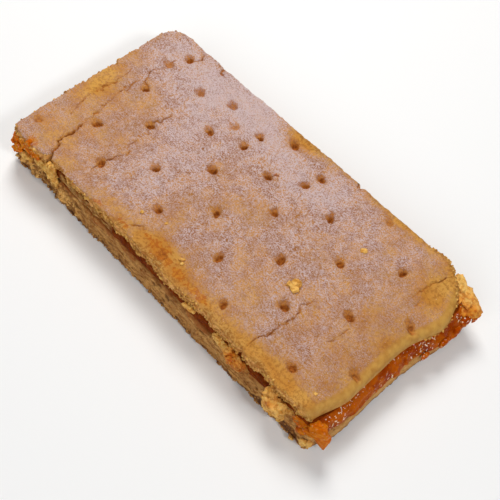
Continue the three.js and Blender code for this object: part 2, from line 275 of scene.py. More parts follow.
# puts a piece into the scene: masks are numbers from 0 to 1 at its points, for its material
def makePiece(name, points, quads, tris, material, nodes=(), masks=None, smooth=True):
    corners = np.concatenate([np.ravel(quads), np.ravel(tris)]).astype(np.int32)
    totals = np.concatenate([np.full(len(quads), 4), np.full(len(tris), 3)])
    starts = np.concatenate([[0], np.cumsum(totals)[:-1]]).astype(np.int32)
    mesh = bpy.data.meshes.new(name)
    mesh.vertices.add(len(points))
    mesh.vertices.foreach_set("co", (points * mm + sliceOrigin).astype(np.float32).ravel())
    mesh.loops.add(len(corners))
    mesh.loops.foreach_set("vertex_index", corners)
    mesh.polygons.add(len(totals))
    mesh.polygons.foreach_set("loop_start", starts)
    mesh.polygons.foreach_set("use_smooth", np.full(len(totals), smooth))
    for maskName, values in (masks or {}).items():
        layer = mesh.attributes.new(maskName, "FLOAT", "POINT")
        layer.data.foreach_set("value", np.clip(values, 0.0, 1.0).astype(np.float32))
    mesh.update(calc_edges=True)
    mesh.validate()
    mesh.materials.append(material)
    piece = bpy.data.objects.new(name, mesh)
    scene.collection.objects.link(piece)
    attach(piece, "root")
    if nodes:
        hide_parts(*nodes)
    print(f"{name}: {len(points)} points, {2 * len(quads) + len(tris)} triangles")


# a colour given as 0 to 255 on a screen, as the shader's linear values
def tone(colour):
    share = np.array(colour) / 255.0
    linear = np.where(share <= 0.04045, share / 12.92, ((share + 0.055) / 1.055) ** 2.4)
    return (*linear.tolist(), 1.0)


# a socket that takes part in Python sums, each one adding its Math node
class Wire:
    def __init__(self, web, socket):
        self.web, self.socket = web, socket

    def join(self, operation, first, second):
        return self.web.node("ShaderNodeMath", {"operation": operation}, {0: first, 1: second})

    def __add__(self, other):
        return self.join("ADD", self, other)

    def __radd__(self, other):
        return self.join("ADD", other, self)

    def __sub__(self, other):
        return self.join("SUBTRACT", self, other)

    def __rsub__(self, other):
        return self.join("SUBTRACT", other, self)

    def __mul__(self, other):
        return self.join("MULTIPLY", self, other)

    def __rmul__(self, other):
        return self.join("MULTIPLY", other, self)

    def step(self, low, high):  # 0 at low, 1 at high, smooth between
        settings = {"interpolation_type": "SMOOTHSTEP"}
        return self.web.node("ShaderNodeMapRange", settings, {0: self, 1: low, 2: high})


# one material's nodes, on each piece's own Object coordinates. A plain colour is given as on a
# screen, and every size and distance in mm
class Web:
    def __init__(self, name):
        self.material = bpy.data.materials.new(name)
        self.material.use_nodes = True
        self.tree = self.material.node_tree
        self.tree.nodes.clear()
        self.place = self.node("ShaderNodeTexCoord", {}, {}, "Object")

    def node(self, kind, settings, sockets, output=0):
        node = self.tree.nodes.new(kind)
        for key, value in settings.items():
            setattr(node, key, value)
        for key, value in sockets.items():
            if isinstance(value, Wire):
                self.tree.links.new(value.socket, node.inputs[key])
            else:
                node.inputs[key].default_value = value
        return Wire(self, node.outputs[output]) if node.outputs else None

    def masks(self, *names):  # the numbers from 0 to 1 that makePiece keeps at a piece's points
        kind = "ShaderNodeAttribute"
        return [self.node(kind, {"attribute_name": name}, {}, "Fac") for name in names]

    def noise(self, size, detail=2.0, roughness=0.5, stretch=None):
        place = self.place
        if stretch:
            place = self.node("ShaderNodeMapping", {}, {"Vector": place, "Scale": stretch})
        sockets = {"Vector": place, "Scale": 1 / (size * mm), "Detail": detail, "Roughness": roughness}
        return self.node("ShaderNodeTexNoise", {}, sockets)

    def cells(self, size):  # 0 at the middles of crumbs of this size, 1 between them
        return self.node("ShaderNodeTexVoronoi", {}, {"Vector": self.place, "Scale": 1 / (size * mm)})

    def blend(self, factor, first, second):  # the first colour at 0, the second at 1
        first, second = (tone(colour) if isinstance(colour, tuple) else colour for colour in (first, second))
        return self.node("ShaderNodeMix", {"data_type": "RGBA"}, {0: factor, 6: first, 7: second}, 2)

    def spots(self, source, low, high, first, second):  # a blend by how far source is from low to high
        return self.blend(source.step(low, high), first, second)

    def bump(self, height, distance):
        return self.node("ShaderNodeBump", {}, {"Height": height, "Distance": distance * mm, "Strength": 1.0})

    # soft is how light soaks in: its weight, its reach for red, green and blue, and their scale
    def finish(self, sockets, soft=None):
        if soft:
            names = ("Subsurface Weight", "Subsurface Radius", "Subsurface Scale")
            sockets.update(zip(names, (soft[0], soft[1], soft[2] * mm)))
        surface = self.node("ShaderNodeBsdfPrincipled", {}, sockets)
        self.node("ShaderNodeOutputMaterial", {}, {"Surface": surface})
        return self.material


print("helpers ready")


# puts a camera or a light into the scene by its three axes and its place, in metres
def hangUp(name, data, right, up, back, place):
    hung = bpy.data.objects.new(name, data)
    axes = np.stack([right, up, back, place], -1)
    hung.matrix_world = Matrix([*axes.tolist(), [0.0, 0.0, 0.0, 1.0]])
    scene.collection.objects.link(hung)
    return hung


# azimuth 0 looks along +Y. slideRight and slideUp move the camera across its own view, in mm
cameraLook = {
    "azimuth": 37.3, "elevation": 59.38, "roll": 10.2, "distance": 238.85,
    "slideRight": 5.2, "slideUp": -13.9, "lens": 61.6, "clipStart": 0.005,
}


# back points from the slice's top to the camera, which stands the distance away along it. Right
# and up are turned round it by the roll, and the slides go along them
def aimCamera(look):
    turn, tip, roll = (math.radians(look[key]) for key in ("azimuth", "elevation", "roll"))
    back = np.array([math.sin(turn) * math.cos(tip), -math.cos(turn) * math.cos(tip), math.sin(tip)])
    level = np.array([math.cos(turn), math.sin(turn), 0.0])
    upright = np.cross(back, level)
    right = math.cos(roll) * level + math.sin(roll) * upright
    up = math.cos(roll) * upright - math.sin(roll) * level
    place = np.array([0.0, 0.0, sliceTop]) + look["distance"] * back
    place = place + look["slideRight"] * right + look["slideUp"] * up
    data = bpy.data.cameras.new("camera")
    data.lens, data.clip_start = look["lens"], look["clipStart"]
    scene.camera = hangUp("camera", data, right, up, back, sliceOrigin + place * mm)


aimCamera(cameraLook)

# square soft lights: the way to each, its distance and size in metres, its watts and its colour
lights = {
    "key": ((-0.46, 0.42, 1.0), 0.58, 0.24, 2.3, (1.0, 0.985, 0.96)),
    "front": ((1.0, -0.1, 1.1), 0.8, 0.12, 1.6, (0.98, 0.99, 1.0)),
    "near": ((0.25, -1.0, 0.9), 0.8, 0.5, 1.6, (0.98, 0.99, 1.0)),
}


# a light stands its distance away from the origin and faces it, with one side level
def hangLight(name, way, distance, size, watts, colour):
    data = bpy.data.lights.new(name, "AREA")
    data.size, data.energy, data.color = size, watts, colour
    back = np.array(way) / np.linalg.norm(way)
    level = np.cross([0.0, 0.0, 1.0], back)
    level = level / np.linalg.norm(level)
    hangUp(name, data, level, np.cross(back, level), back, back * distance)


for lightName, lightLook in lights.items():
    hangLight(lightName, *lightLook)

skyLook = {"colour": (1.0, 1.0, 1.0, 1.0), "strength": 0.16}
sky = bpy.data.worlds.new("sky")
sky.use_nodes = True
skyInputs = sky.node_tree.nodes["Background"].inputs
skyInputs["Color"].default_value = skyLook["colour"]
skyInputs["Strength"].default_value = skyLook["strength"]
scene.world = sky
scene.view_settings.view_transform = "Standard"

floorLook = {"half": 1.5, "colour": (246, 246, 246), "roughness": 0.7}


# a square at table level, half metres from its middle to each side
def layFloor(look):
    half = look["half"]
    mesh = bpy.data.meshes.new("floor")
    corners = [(-half, -half, 0), (half, -half, 0), (half, half, 0), (-half, half, 0)]
    mesh.from_pydata(corners, [], [(0, 1, 2, 3)])
    sockets = {"Base Color": tone(look["colour"]), "Roughness": look["roughness"]}
    mesh.materials.append(Web("pale floor").finish(sockets))
    floor = bpy.data.objects.new("floor", mesh)
    scene.collection.objects.link(floor)
    floor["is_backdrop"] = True


layFloor(floorLook)
print("camera, light and floor ready")

# the baked top crust. Patches of frost, stains and browner are x, y, size along x, size along y
# and amount
crust = {
    "plan": {
        "left": -60.1, "right": 61.9, "near": -29.3, "far": 32.3, "radii": [1.6, 1.6, 7.5, 8.0],
        "edgeDepth": 14.0, "bulge": 3.5, "bulgeY": 17.5, "bulgeWidth": 8.5,
        "retreat": 2.7, "retreatLength": 13.0, "seed": 1,
        "rag": {"near": 0.5, "far": 0.26, "left": 0.14, "front": 0.06},
        "nicks": [  # side, place along it, width, and the cut, inwards if above 0
            ("far", -35.5, 1.3, 0.8), ("far", 21.0, 0.7, 1.0), ("left", 7.6, 0.8, 1.0),
            ("left", -3.6, 0.6, 0.6), ("left", 16.5, 0.6, 0.6), ("near", -44.3, 0.7, 1.6),
            ("near", -51.5, 7.5, -1.2), ("far", 58.6, 2.2, 1.6), ("far", 53.0, 2.5, -0.6),
            ("near", 34.3, 0.5, 0.9), ("near", 42.4, 1.5, 0.8), ("far", 54.5, 0.5, 0.8),
            ("far", -12.6, 0.7, 0.5),
        ],
    },
    "cells": (384, 192), "rings": (0.6, 1.8, 4.0), "foot": 0.5,
    "rims": {"left": 0.8, "front": 2.8, "near": 0.6, "far": 1.0},  # radii of the rounded top edges
    "curlStart": 50.0, "curlDrop": 1.2, "foldX": 55.0, "foldY": 6.0, "foldSink": 0.6,
    "nose": {"start": 58.6, "bulge": 3.4, "bulgeY": 17.5, "bulgeWidth": 8.5, "retreat": 2.2, "fade": 1.4},
    "waves": (  # size and height
        (26.0, 0.22), (9.0, 0.2), (3.6, 0.13), (1.7, 0.08),
    ),
    "grain": 0.085, "creases": 0.16,
    "wallRows": 13, "wallBottom": 11.9, "bend": 0.4, "tuck": 0.5,
    "wallRelief": {"near": 0.8, "far": 0.75, "left": 0.3, "front": 0.0},
    "lipHang": 1.05, "lipTrim": 0.65, "trimFrom": -30, "trimTo": 46, "lipLift": 2.3, "liftEnd": -46.0,
    "caves": [  # x, z, size along x, size along z, depth
        (-37.9, 13.0, 1.5, 1.2, 1.7), (-43.8, 12.6, 0.8, 2.6, 1.4), (-29.5, 12.4, 2.2, 0.6, 0.8),
    ],
    "mouth": 1.3, "easySide": (-0.93, 0.36),
    "holes": [  # x, y, depth
        (-45.5, 25.5, 1.9), (-33.7, 19.4, 0.8), (-24.0, 23.5, 0.7), (-48.0, 19.2, 0.6),
        (-45.4, 7.6, 2.2), (-34.0, -0.2, 2.3), (-44.5, -11.5, 2.0), (-32.8, -19.5, 2.3),
        (-21.3, 11.5, 2.0), (-21.5, -9.0, 2.4), (-10.2, 21.5, 2.3), (-11.0, 15.5, 2.2),
        (-10.4, 3.0, 2.5), (-10.5, -17.5, 2.2), (-1.5, 27.2, 2.4), (1.3, 13.5, 2.3),
        (0.7, -6.1, 2.5), (11.9, 24.6, 1.9), (10.4, 19.5, 1.6), (11.3, 6.2, 2.2),
        (11.5, -15.4, 2.0), (22.8, 16.7, 2.3), (23.0, -3.1, 2.2), (22.5, -24.0, 1.9),
        (34.5, 8.3, 2.0), (33.6, -12.2, 2.4), (34.6, 28.7, 0.6), (47.8, 19.2, 2.4),
        (47.1, -1.5, 1.9), (47.1, -22.9, 2.0), (60.1, 8.7, 1.3), (59.4, -12.2, 1.2),
        (-56.4, -23.3, 0.7), (1.1, -26.3, 0.9), (-18.0, 18.5, 0.5),
    ],
    "cracks": [  # route, half width, depth, and how far it breaks up, 0 to 1
        ([(-43.2, -31), (-46.1, -24.1), (-47.4, -19.2), (-47.6, -13.2)], 0.26, 1.15, 0.05),
        ([(-47.6, -13.2), (-47.8, -8.2), (-49.8, 1.3), (-50.0, 10.0)], 0.22, 0.6, 0.35),
        ([(-53.3, -14.9), (-54.4, -6.7), (-54.4, -0.7), (-53.7, 5.7), (-54.4, 9.8)], 0.32, 0.6, 0.3),
        ([(-33.7, -23.2), (-32.7, -19.3), (-32, -15.3), (-31.3, -10)], 0.26, 1.0, 0.3),
        ([(-33.2, -6.7), (-32.4, -1.9), (-33.9, -0.2), (-34, 4.8), (-33.2, 9.3)], 0.22, 0.8, 0.35),
        ([(-33.2, -10.5), (-32.9, -6.7)], 0.2, 0.7, 0.2),
        ([(-45.2, 8), (-48.4, 10.2), (-50.4, 12.8), (-49.2, 16.1), (-48, 19.5), (-48.3, 21.8)],
         0.26, 0.8, 0.4),
        ([(-45.8, 25.7), (-43.7, 28), (-45.2, 31.4)], 0.32, 1.0, 0.25),
        ([(34.2, -28.5), (36.6, -19.4), (36.7, -11.1), (37, -7.2), (38.1, -4.2)], 0.18, 0.8, 0.25),
        ([(47.7, -11.5), (48.8, -3.9)], 0.16, 0.45, 0.35),
        ([(54.2, 13), (54.4, 20.6), (55.9, 25.6), (57.2, 29.8)], 0.2, 0.6, 0.35),
        ([(56.1, 14), (56.3, 17.4)], 0.14, 0.35, 0.3),
        ([(-12.9, -26.8), (-9.8, -24.2), (-8.5, -24)], 0.22, 0.5, 0.2),
        ([(49.2, -0.8), (51.5, 1.0)], 0.16, 0.3, 0.3),
        ([(-37.5, 32), (-35.6, 29.8), (-34.0, 29.6)], 0.35, 0.8, 0.1),
        ([(19.0, 32.5), (21.2, 30.6)], 0.25, 0.7, 0.1),
        ([(1.3, 14), (2.6, 16.6)], 0.4, 0.9, 0.1),
    ],
    "frost": [  # patches with more or less sugar than the rest
        (-56, -1, 5, 13, -0.4), (-46, -8, 8, 13, -0.26), (-41, 4, 6, 7, -0.2), (-53, 23, 9, 10, 0.2),
        (-40, 22, 9, 6, 0.14), (-30, 12, 14, 16, 0.22), (-20, -5, 10, 12, 0.2), (-7, -15, 5, 8, -0.2),
        (0, 18, 16, 10, 0.18), (-22, 26, 20, 7, 0.24), (-16, 27, 36, 6, 0.2), (-6, 22, 34, 9, 0.18),
        (0, -23, 6, 3, -0.15), (-16, -23, 5, 3, 0.15), (-44, -25, 8, 5, -0.22), (-38, -8, 7, 6, -0.12),
        (58, 24, 5, 7, -0.5), (13, -14, 8, 7, 0.04), (26, -15, 9, 6, -0.2), (9, 4, 9, 6, -0.1),
        (-2, 31, 9, 3.4, -0.5), (40, 31.5, 18, 2.8, -0.65), (-36, 32, 4, 2, -0.3), (0, -27, 16, 4.8, -0.78),
        (44, -27.5, 24, 3.9, -0.8), (60, 0, 6, 40, -0.34), (51, -8, 9, 18, -0.13), (-60, 0, 3, 40, -0.2),
        (36, -4, 10, 12, -0.05), (51, -18, 8, 7, 0.03), (51, 8, 8, 15, -0.2), (-25, -26, 14, 3, -0.2),
        (43, -13, 6, 8, -0.14), (-53, -24, 7, 4, -0.2), (-13, -18, 6, 5, -0.1), (0, 30, 8, 4, -0.45),
        (1, 26, 6, 5, -0.28), (17, 18, 8, 6, 0.14), (5, -17, 5, 5, -0.12),
    ],
    "frostLevel": 0.58, "frostMost": 1.3,  # away from the patches, and the limit
    "bareRim": 2.0, "nearRimFrom": -34, "farRimFrom": -12,  # width of the golden rims, and where they start
    "stains": [  # patches where jam or butter has soaked through
        (-51.5, -29.0, 2.6, 1.4, 1.0), (-36.3, -27.8, 1.7, 1.0, 0.7), (-14.2, -27.6, 2.2, 1.3, 1.1),
        (-0.8, -25.6, 4.6, 2.7, 1.0), (8.0, -26.5, 3.6, 1.9, 1.0), (16.4, -27.0, 3.2, 1.3, 1.3),
        (-1.5, 27.8, 2.8, 1.8, 0.6), (2.4, 15.8, 1.2, 1.3, 0.6), (34.6, 28.7, 1.8, 1.3, 0.4),
        (-54, -3, 2.4, 12, 0.35), (-23.4, -28.2, 1.9, 1.0, 1.1), (-7.1, -25.4, 1.2, 0.9, 0.6),
        (-46, -25, 1.0, 5.0, 0.5), (1.8, 30.8, 2.0, 1.4, 0.45), (-60, 5.5, 0.8, 2.0, 0.6),
        (-60, -12, 0.8, 1.6, 0.5),
    ],
    "browner": [  # patches baked darker
        (4, -18, 9, 5, 0.5), (-40, 16, 6, 5, 0.3), (-10, -12, 5, 8, 0.4), (22, 4, 10, 10, 0.25),
        (-52, -6, 4, 10, 0.12), (54, -8, 11, 24, 0.32), (20, -22, 38, 7, 0.25), (40, -16, 10, 7, 0.25),
        (60, -2, 5, 22, 0.2), (0, -27, 14, 3, 0.4),
    ],
}


# the way from a route's nearest point to each point, and how far along that is, with the points
# moved by lumps of three sizes first, so that the route wobbles
def wobblyRoute(x, y, route, seed):
    wobbleX = 0.95 * crumble(x, y, seed, 2.4, 2, seed) + 0.34 * lumps(x, y, seed, 0.9, seed + 2)
    wobbleY = 0.95 * crumble(x, y, seed + 9.0, 2.4, 2, seed + 3) + 0.34 * lumps(x, y, seed, 0.9, seed + 5)
    return distanceToRoute(x + wobbleX, y + wobbleY, route)


# grid points are drawn towards hole rims and cracks, so that their edges come out clean: near a
# hole's rim the radius r becomes r - 0.35 (r - 1) times a bell, and near a crack the distance d
# becomes d (1 - 0.6 times a bell)
def drawToEdges(look, x, y):
    for centreX, centreY, depth in look["holes"]:
        reach = np.maximum(np.hypot(x - centreX, y - centreY) / look["mouth"], 1e-3)
        drawn = (reach - 0.35 * (reach - 1) * bell((reach - 1) / 0.6)) / reach
        x, y = centreX + (x - centreX) * drawn, centreY + (y - centreY) * drawn
    for seed, (route, half, depth, broken) in enumerate(look["cracks"]):
        offX, offY, along = wobblyRoute(x, y, route, seed + 1)
        pull = 0.6 * bell(np.hypot(offX, offY) / (half + 0.5))
        x, y = x - pull * offX, y - pull * offY
    return x, y


# general level: flat, dropping in the curl by curlDrop times a smooth step squared, and sinking
# beyond the fold, with waves of a few sizes and creases along the left end
def crustLevel(look, x, y):
    start = look["curlStart"]
    z = sliceTop - look["curlDrop"] * ease((x - start) / (look["plan"]["right"] - start)) ** 2
    folded = ease((x - look["foldX"] + 1.5) / 3) * ease((y - look["foldY"]) / 10)
    z = z - look["foldSink"] * folded
    calm = 1 - 0.85 * ease((x - start - 6) / 5)  # the two finer waves fade out in the curl
    for k, (size, amount) in enumerate(look["waves"]):
        z = z + (amount * calm if k > 1 else amount) * lumps(x, y, 3.0 * k, size, 20 + k)
    creased = ease((-48 - x) / 8) * ease((26 - np.abs(y)) / 12)
    return z + look["creases"] * creased * lumps(x, 0.12 * y, 0.0, 1.7, 31)


# 1 at the front end of a border point's u, 0 at the sides
def frontShare(u):
    return ease((u - 0.93) / 0.07)


# holes and cracks as depth below the general level, how far inside one each point is, and how
# close to one. A hole is a wide shallow funnel, longer towards easySide, with a steep pit in it.
# A crack is a groove whose section is a smooth step, tapering at its ends and broken up by lumps
# along it. Both have a low raised lip
def crustPits(look, x, y, rng):
    depthField, inside, dent = np.zeros((3, *np.shape(x)))
    easyX, easyY = look["easySide"]
    for centreX, centreY, depth in look["holes"]:
        turn, ratio, size = rng.uniform(0, np.pi), rng.uniform(1.0, 1.28), rng.uniform(0.88, 1.14)
        dx, dy, shallow = x - centreX, y - centreY, min(depth, 1.0)
        across = (np.cos(turn) * dx + np.sin(turn) * dy) * ratio
        along = (np.cos(turn) * dy - np.sin(turn) * dx) / ratio
        uneven = 1 + 0.2 * lumps(x, y, 0.0, 1.1, 41)
        easy = np.maximum((easyX * dx + easyY * dy) / np.maximum(np.hypot(dx, dy), 1e-6), 0.0)
        reach = np.hypot(across, along) / (look["mouth"] * size) * uneven
        slope = reach / (1 + 1.15 * easy)
        wide = np.hypot(dx + 0.5, dy - 0.3) / (look["mouth"] * 2.1)
        pit = 0.33 * depth * (ease(1.1 - slope) + ease((0.9 - reach) / 0.36))
        funnel = 0.32 * ease(1 - wide) * shallow
        lip = 0.08 * bell((reach - 1.35) / 0.3) * (1 - easy)
        depthField = np.maximum(depthField, pit) + funnel - lip
        core = ease((1.0 - 0.7 * reach - 0.3 * slope) / 0.35) * min(1.0, 0.25 + depth / 2)
        inside = np.maximum(inside, np.maximum(core, 0.5 * ease((1.0 - slope) / 0.35) * shallow))
        dent = np.maximum(dent, ease(1.25 - wide) * shallow)
    for seed, (route, half, depth, broken) in enumerate(look["cracks"]):
        offX, offY, along = wobblyRoute(x, y, route, seed + 1)
        breaks = 1 - min(1.0, 1.6 * broken) * ease(2.5 * lumps(x, y, 4.0, 1.5, 60 + seed) + 0.2)
        width = half * (0.85 + 0.6 * crumble(x, y, 8.0, 1.8, 2, 80 + seed)) * (0.4 + 0.6 * breaks)
        ends = ease(along / 0.12) * ease((1 - along) / 0.16)
        reach = np.hypot(offX, offY) / np.maximum(width * (0.35 + 0.65 * ends), 0.05)
        groove = depth * breaks * (0.2 + 0.8 * ends) * ease(1.25 - reach)
        lip = 0.1 * min(depth, 1.0) * bell((reach - 2.0) / 0.8) * ends
        depthField = np.maximum(depthField, groove) - lip
        inside = np.maximum(inside, ease(1.45 - reach) * breaks * min(1.0, 0.35 + 0.5 * depth))
        dent = np.maximum(dent, 0.7 * ease(1.6 - 0.35 * reach) * min(depth, 1.0) * ends)
    return depthField, inside, dent


# how much a wall's point moves outwards for one unit of crumb: each side's own amount by how
# squarely the surface faces that side, and nothing off the wall
def sideAmount(normals, amounts, marks):
    x, y = normals[:, 0], normals[:, 1]
    facing = {"near": -y, "far": y, "left": -x, "front": x}
    total = sum(amounts[side] * np.maximum(share, 0.0) ** 1.5 for side, share in facing.items())
    return total * (marks > 0) * (marks < 1)


# a grid of the top, a wall that starts as a quarter circle of the rim's radius, and the underside.
# Then the wall is pushed out by crumbs, and the top sinks by the holes and cracks
def makeCrust(look, material):
    rng = np.random.default_rng(11)
    plan, rims, bottom = look["plan"], look["rims"], look["wallBottom"]
    layer = Layer(*look["cells"])

    # rim radius at (u, v): the near or far side's, turning into the end's own close to an end
    def rimAt(u, v):
        side = np.where(v < 0, rims["near"], rims["far"])
        end = np.where(u < 0, rims["left"], rims["front"])
        return side + (end - side) * ease((np.abs(u) - 0.9) / 0.1)

    # the top's places, set in by the rim, and drawn to the holes and cracks where drawn is true
    def topPlaces(u, v, drawn=True):
        rim = rimAt(u, v)
        x, y = planPoint(plan, u, v, rim, rim)
        if drawn:
            x, y = drawToEdges(look, x, y)
        return x, y, crustLevel(look, x, y)

    # a wall row at share t of the way down: the quarter circle, then straight to a ragged lip,
    # lifted at the near left corner, with the last fifth drawn under
    def wallRow(t):
        curved = min(t / look["bend"], 1.0) * np.pi / 2
        straight = max((t - look["bend"]) / (1 - look["bend"]), 0.0)
        under = look["tuck"] * max((t - 0.8) / 0.2, 0.0) ** 2

        def place(u, v):
            rim = rimAt(u, v)
            topX, topY, level = topPlaces(u, v, False)
            inset = rim * (1 - np.sin(curved)) + under
            x, y = planPoint(plan, u, v, inset, inset)
            ragged = 0.7 * lumps(topX, topY, 1.0, 4.0, 95) + 0.8 * lumps(topX, topY, 2.0, 0.9, 96)
            trimmed = ease((topX - look["trimFrom"]) / 10) * ease((look["trimTo"] - topX) / 8)
            hang = look["lipHang"] * ease(0.4 + ragged) * (1 - look["lipTrim"] * trimmed * (v < 0))
            lift = look["lipLift"] * ease((look["liftEnd"] - topX) / 2.5) * (v < 0)
            corner = level - rim * (1 - np.cos(curved))
            z = corner + straight * (bottom + lift - corner)
            return x, y, z - hang * (1 - frontShare(u)) * straight
        return place

    # flat at the wall's foot, set in by foot and then by inset
    def underside(u, v, inset):
        x, y = planPoint(plan, u, v, look["foot"] + inset, look["foot"] + inset)
        return x, y, np.full(np.shape(x), bottom)

    rows = look["wallRows"]
    loop = layer.wall(layer.topGrid(topPlaces), [wallRow((k + 1) / rows) for k in range(rows)])
    layer.close(loop, underside, look["rings"], False)
    points, quads, tris, marks, normals = layer.arrays()

    x, y, z = points.T
    top = ease((normals[:, 2] - 0.35) / 0.4) * (marks < 1)
    wall = 1 - ease((normals[:, 2] - 0.2) / 0.5)
    pits, inside, dent = crustPits(look, x, y, rng)
    crumbs = np.hypot(lumps(x, y, z, 2.3, 5), 0.14) + 0.6 * np.hypot(lumps(x, y, z, 1.1, 6), 0.14) - 0.62
    crumbs = 1.6 * crumbs + 0.5 * lumps(x, y, z, 5.0, 7)
    pitted = ease((lumps(x, y, z, 1.3, 14) - 0.35) / 0.3) * ease((marks - 0.2) / 0.2)
    amount = sideAmount(normals, look["wallRelief"], marks) * (1 - 0.5 * ease((x - 20) / 14))
    push = amount * (0.55 * crumbs - 0.35 * pitted)
    for caveX, caveZ, halfX, halfZ, depth in look["caves"]:
        push = push - depth * (y < 0) * bell((x - caveX) / halfX) * bell((z - caveZ) / halfZ) * wall
    push = push + look["grain"] * crumble(x, y, z, 0.8, 2, 3) * top
    points = points + normals * push[:, None]
    points[:, 2] -= pits * np.where(marks > 0, ease(1 - marks / 0.6), 1.0) * (z > 12.2)
    points[:, 2] = np.maximum(points[:, 2], np.minimum(z, bottom))

    frost = look["frostLevel"] + sumPatches(x, y, look["frost"]) + 0.17 * crumble(x, y, 0.0, 5.0, 3, 70)
    frost = np.clip(frost, 0.0, look["frostMost"]) / look["frostMost"]
    # the nose is the curl's own bare end, which bulges and draws back as the plan does
    edge = look["nose"]
    noseX = edge["start"] + edge["bulge"] * bell((y - edge["bulgeY"]) / edge["bulgeWidth"])
    nose = ease((x - noseX + edge["retreat"] * ease((-16 - y) / 13)) / edge["fade"])
    nose = np.maximum(nose, ease((normals[:, 0] - 0.35) / 0.3) * (x > 50))
    bareRim = look["bareRim"]
    nearRim = ease((plan["near"] + bareRim + 1.4 * lumps(x, 0.0, 0.0, 5.0, 44) - y) / 1.4)
    farRim = ease((y - plan["far"] + bareRim + 1.2 * lumps(x, 0.0, 0.0, 6.0, 45)) / 1.6)
    nearRim = nearRim * (0.35 + 0.65 * ease((x - look["nearRimFrom"]) / 12))
    rim = np.maximum(nearRim, farRim * ease((x - look["farRimFrom"]) / 8))
    masks = {
        "frost": frost * top * (1 - inside) * (1 - nose) * (1 - 0.8 * rim),
        "inside": inside * (marks < 0.6),
        "dent": dent * top,
        "stain": sumPatches(x, y, look["stains"]) * (0.8 + 0.5 * lumps(x, y, z, 1.4, 51)),
        "brown": sumPatches(x, y, look["browner"]) + 0.25 * lumps(x, y, 0.0, 11.0, 52),
        "nose": nose * (marks < 1),
        "cut": wall * (1 - nose) * (marks > 0) + (marks >= 1),
        "rim": rim * top,
    }
    makePiece("topCrust", points, quads, tris, material, ["top_crust"], masks)
    return points, pointNormals(points, quads, tris), marks, masks


# toasted pastry, darker and golden in places, under a mottled dust of sugar where it is frosted,
# and crumbly where it is cut. Stains and the insides of holes and cracks lie over the pastry
def crustMaterial():
    web = Web("baked crust")
    frost, inside, dent, stain = web.masks("frost", "inside", "dent", "stain")
    brown, nose, cut, rim = web.masks("brown", "nose", "cut", "rim")
    frost = frost * crust["frostMost"]
    broad, patches, middle = web.noise(7.0, 3.0), web.noise(3.6, 3.0), web.noise(1.8, 3.0)
    fine, grains = web.noise(0.85, 3.0, 0.7), web.noise(0.42, 2.0, 0.8)
    bare = web.spots(broad, 0.35, 0.65, (199, 134, 50), (215, 159, 74))
    under = web.spots(patches, 0.42, 0.6, (154, 96, 40), (190, 127, 48))
    baked = web.blend(frost * 1.5, bare, under)
    baked = web.blend(fine.step(0.46, 0.6) * 0.48, baked, (150, 84, 26))
    baked = web.blend(brown * 0.45, baked, (142, 84, 38))
    golden = web.spots(fine, 0.43, 0.57, (188, 140, 74), (154, 98, 36))
    baked = web.blend(rim * (0.35 + 0.6 * patches.step(0.4, 0.6)), baked, golden)
    soaked = (stain + (middle + fine - 1.0) * 0.9).step(0.3, 0.6)
    baked = web.blend(soaked * 0.85, baked, web.spots(fine, 0.4, 0.6, (198, 124, 28), (178, 94, 14)))
    mottle = grains.step(0.41, 0.59) * 0.75 + fine.step(0.44, 0.58) * 0.25
    bared = (1 - dent * 0.3) * (1 - soaked * 0.6)
    sugarTone = (206, 183, 183)
    dusted = web.blend(frost * (1.6 * mottle) * (0.3 + 1.15 * middle) * bared, baked, sugarTone)
    top = web.blend(frost.step(0.7, 1.15) * 0.4 * bared, dusted, sugarTone)
    top = web.blend(nose, top, web.spots(middle, 0.3, 0.75, (202, 152, 72), (182, 126, 52)))
    crumbly = web.spots(middle, 0.4, 0.62, (236, 177, 100), (188, 121, 50))
    crumbly = web.blend(fine.step(0.5, 0.66) * 0.4, crumbly, (150, 88, 34))
    crumbly = web.blend(stain * 0.7, crumbly, (190, 96, 24))
    colour = web.blend(cut, top, crumbly)
    colour = web.blend(inside, colour, web.spots(fine, 0.4, 0.6, (182, 106, 34), (138, 72, 18)))
    relief = (grains * 0.4 + fine * 0.8) * (1 - nose * 0.7) + middle * 0.8 + cut * web.cells(0.8) * 0.5
    return web.finish({
        "Base Color": colour, "Roughness": 0.72 - nose * 0.18 + frost * 0.1,
        "Normal": web.bump(relief, 0.42), "Specular IOR Level": 0.2,
    }, (0.12, (1.0, 0.5, 0.25), 0.8))


crustPoints, crustNormals, crustMarks, crustMasks = makeCrust(crust, crustMaterial())


# a layer cut on all sides: the wall from top to bottom, then the underside and the top closed.
# surface(t) is a function of (u, v, inset) giving the places at share t of the way down
def cutLayer(look, surface):
    layer = Layer(*look["cells"])
    rows = [surface(k / look["rows"]) for k in range(look["rows"] + 1)]
    rim = layer.add(*rows[0](*borderPlaces(*look["cells"])), 0.0)
    layer.close(layer.wall(rim, rows[1:]), rows[-1], look["lowRings"], False)
    layer.close(rim, rows[0], look["topRings"], True)
    return layer.arrays()


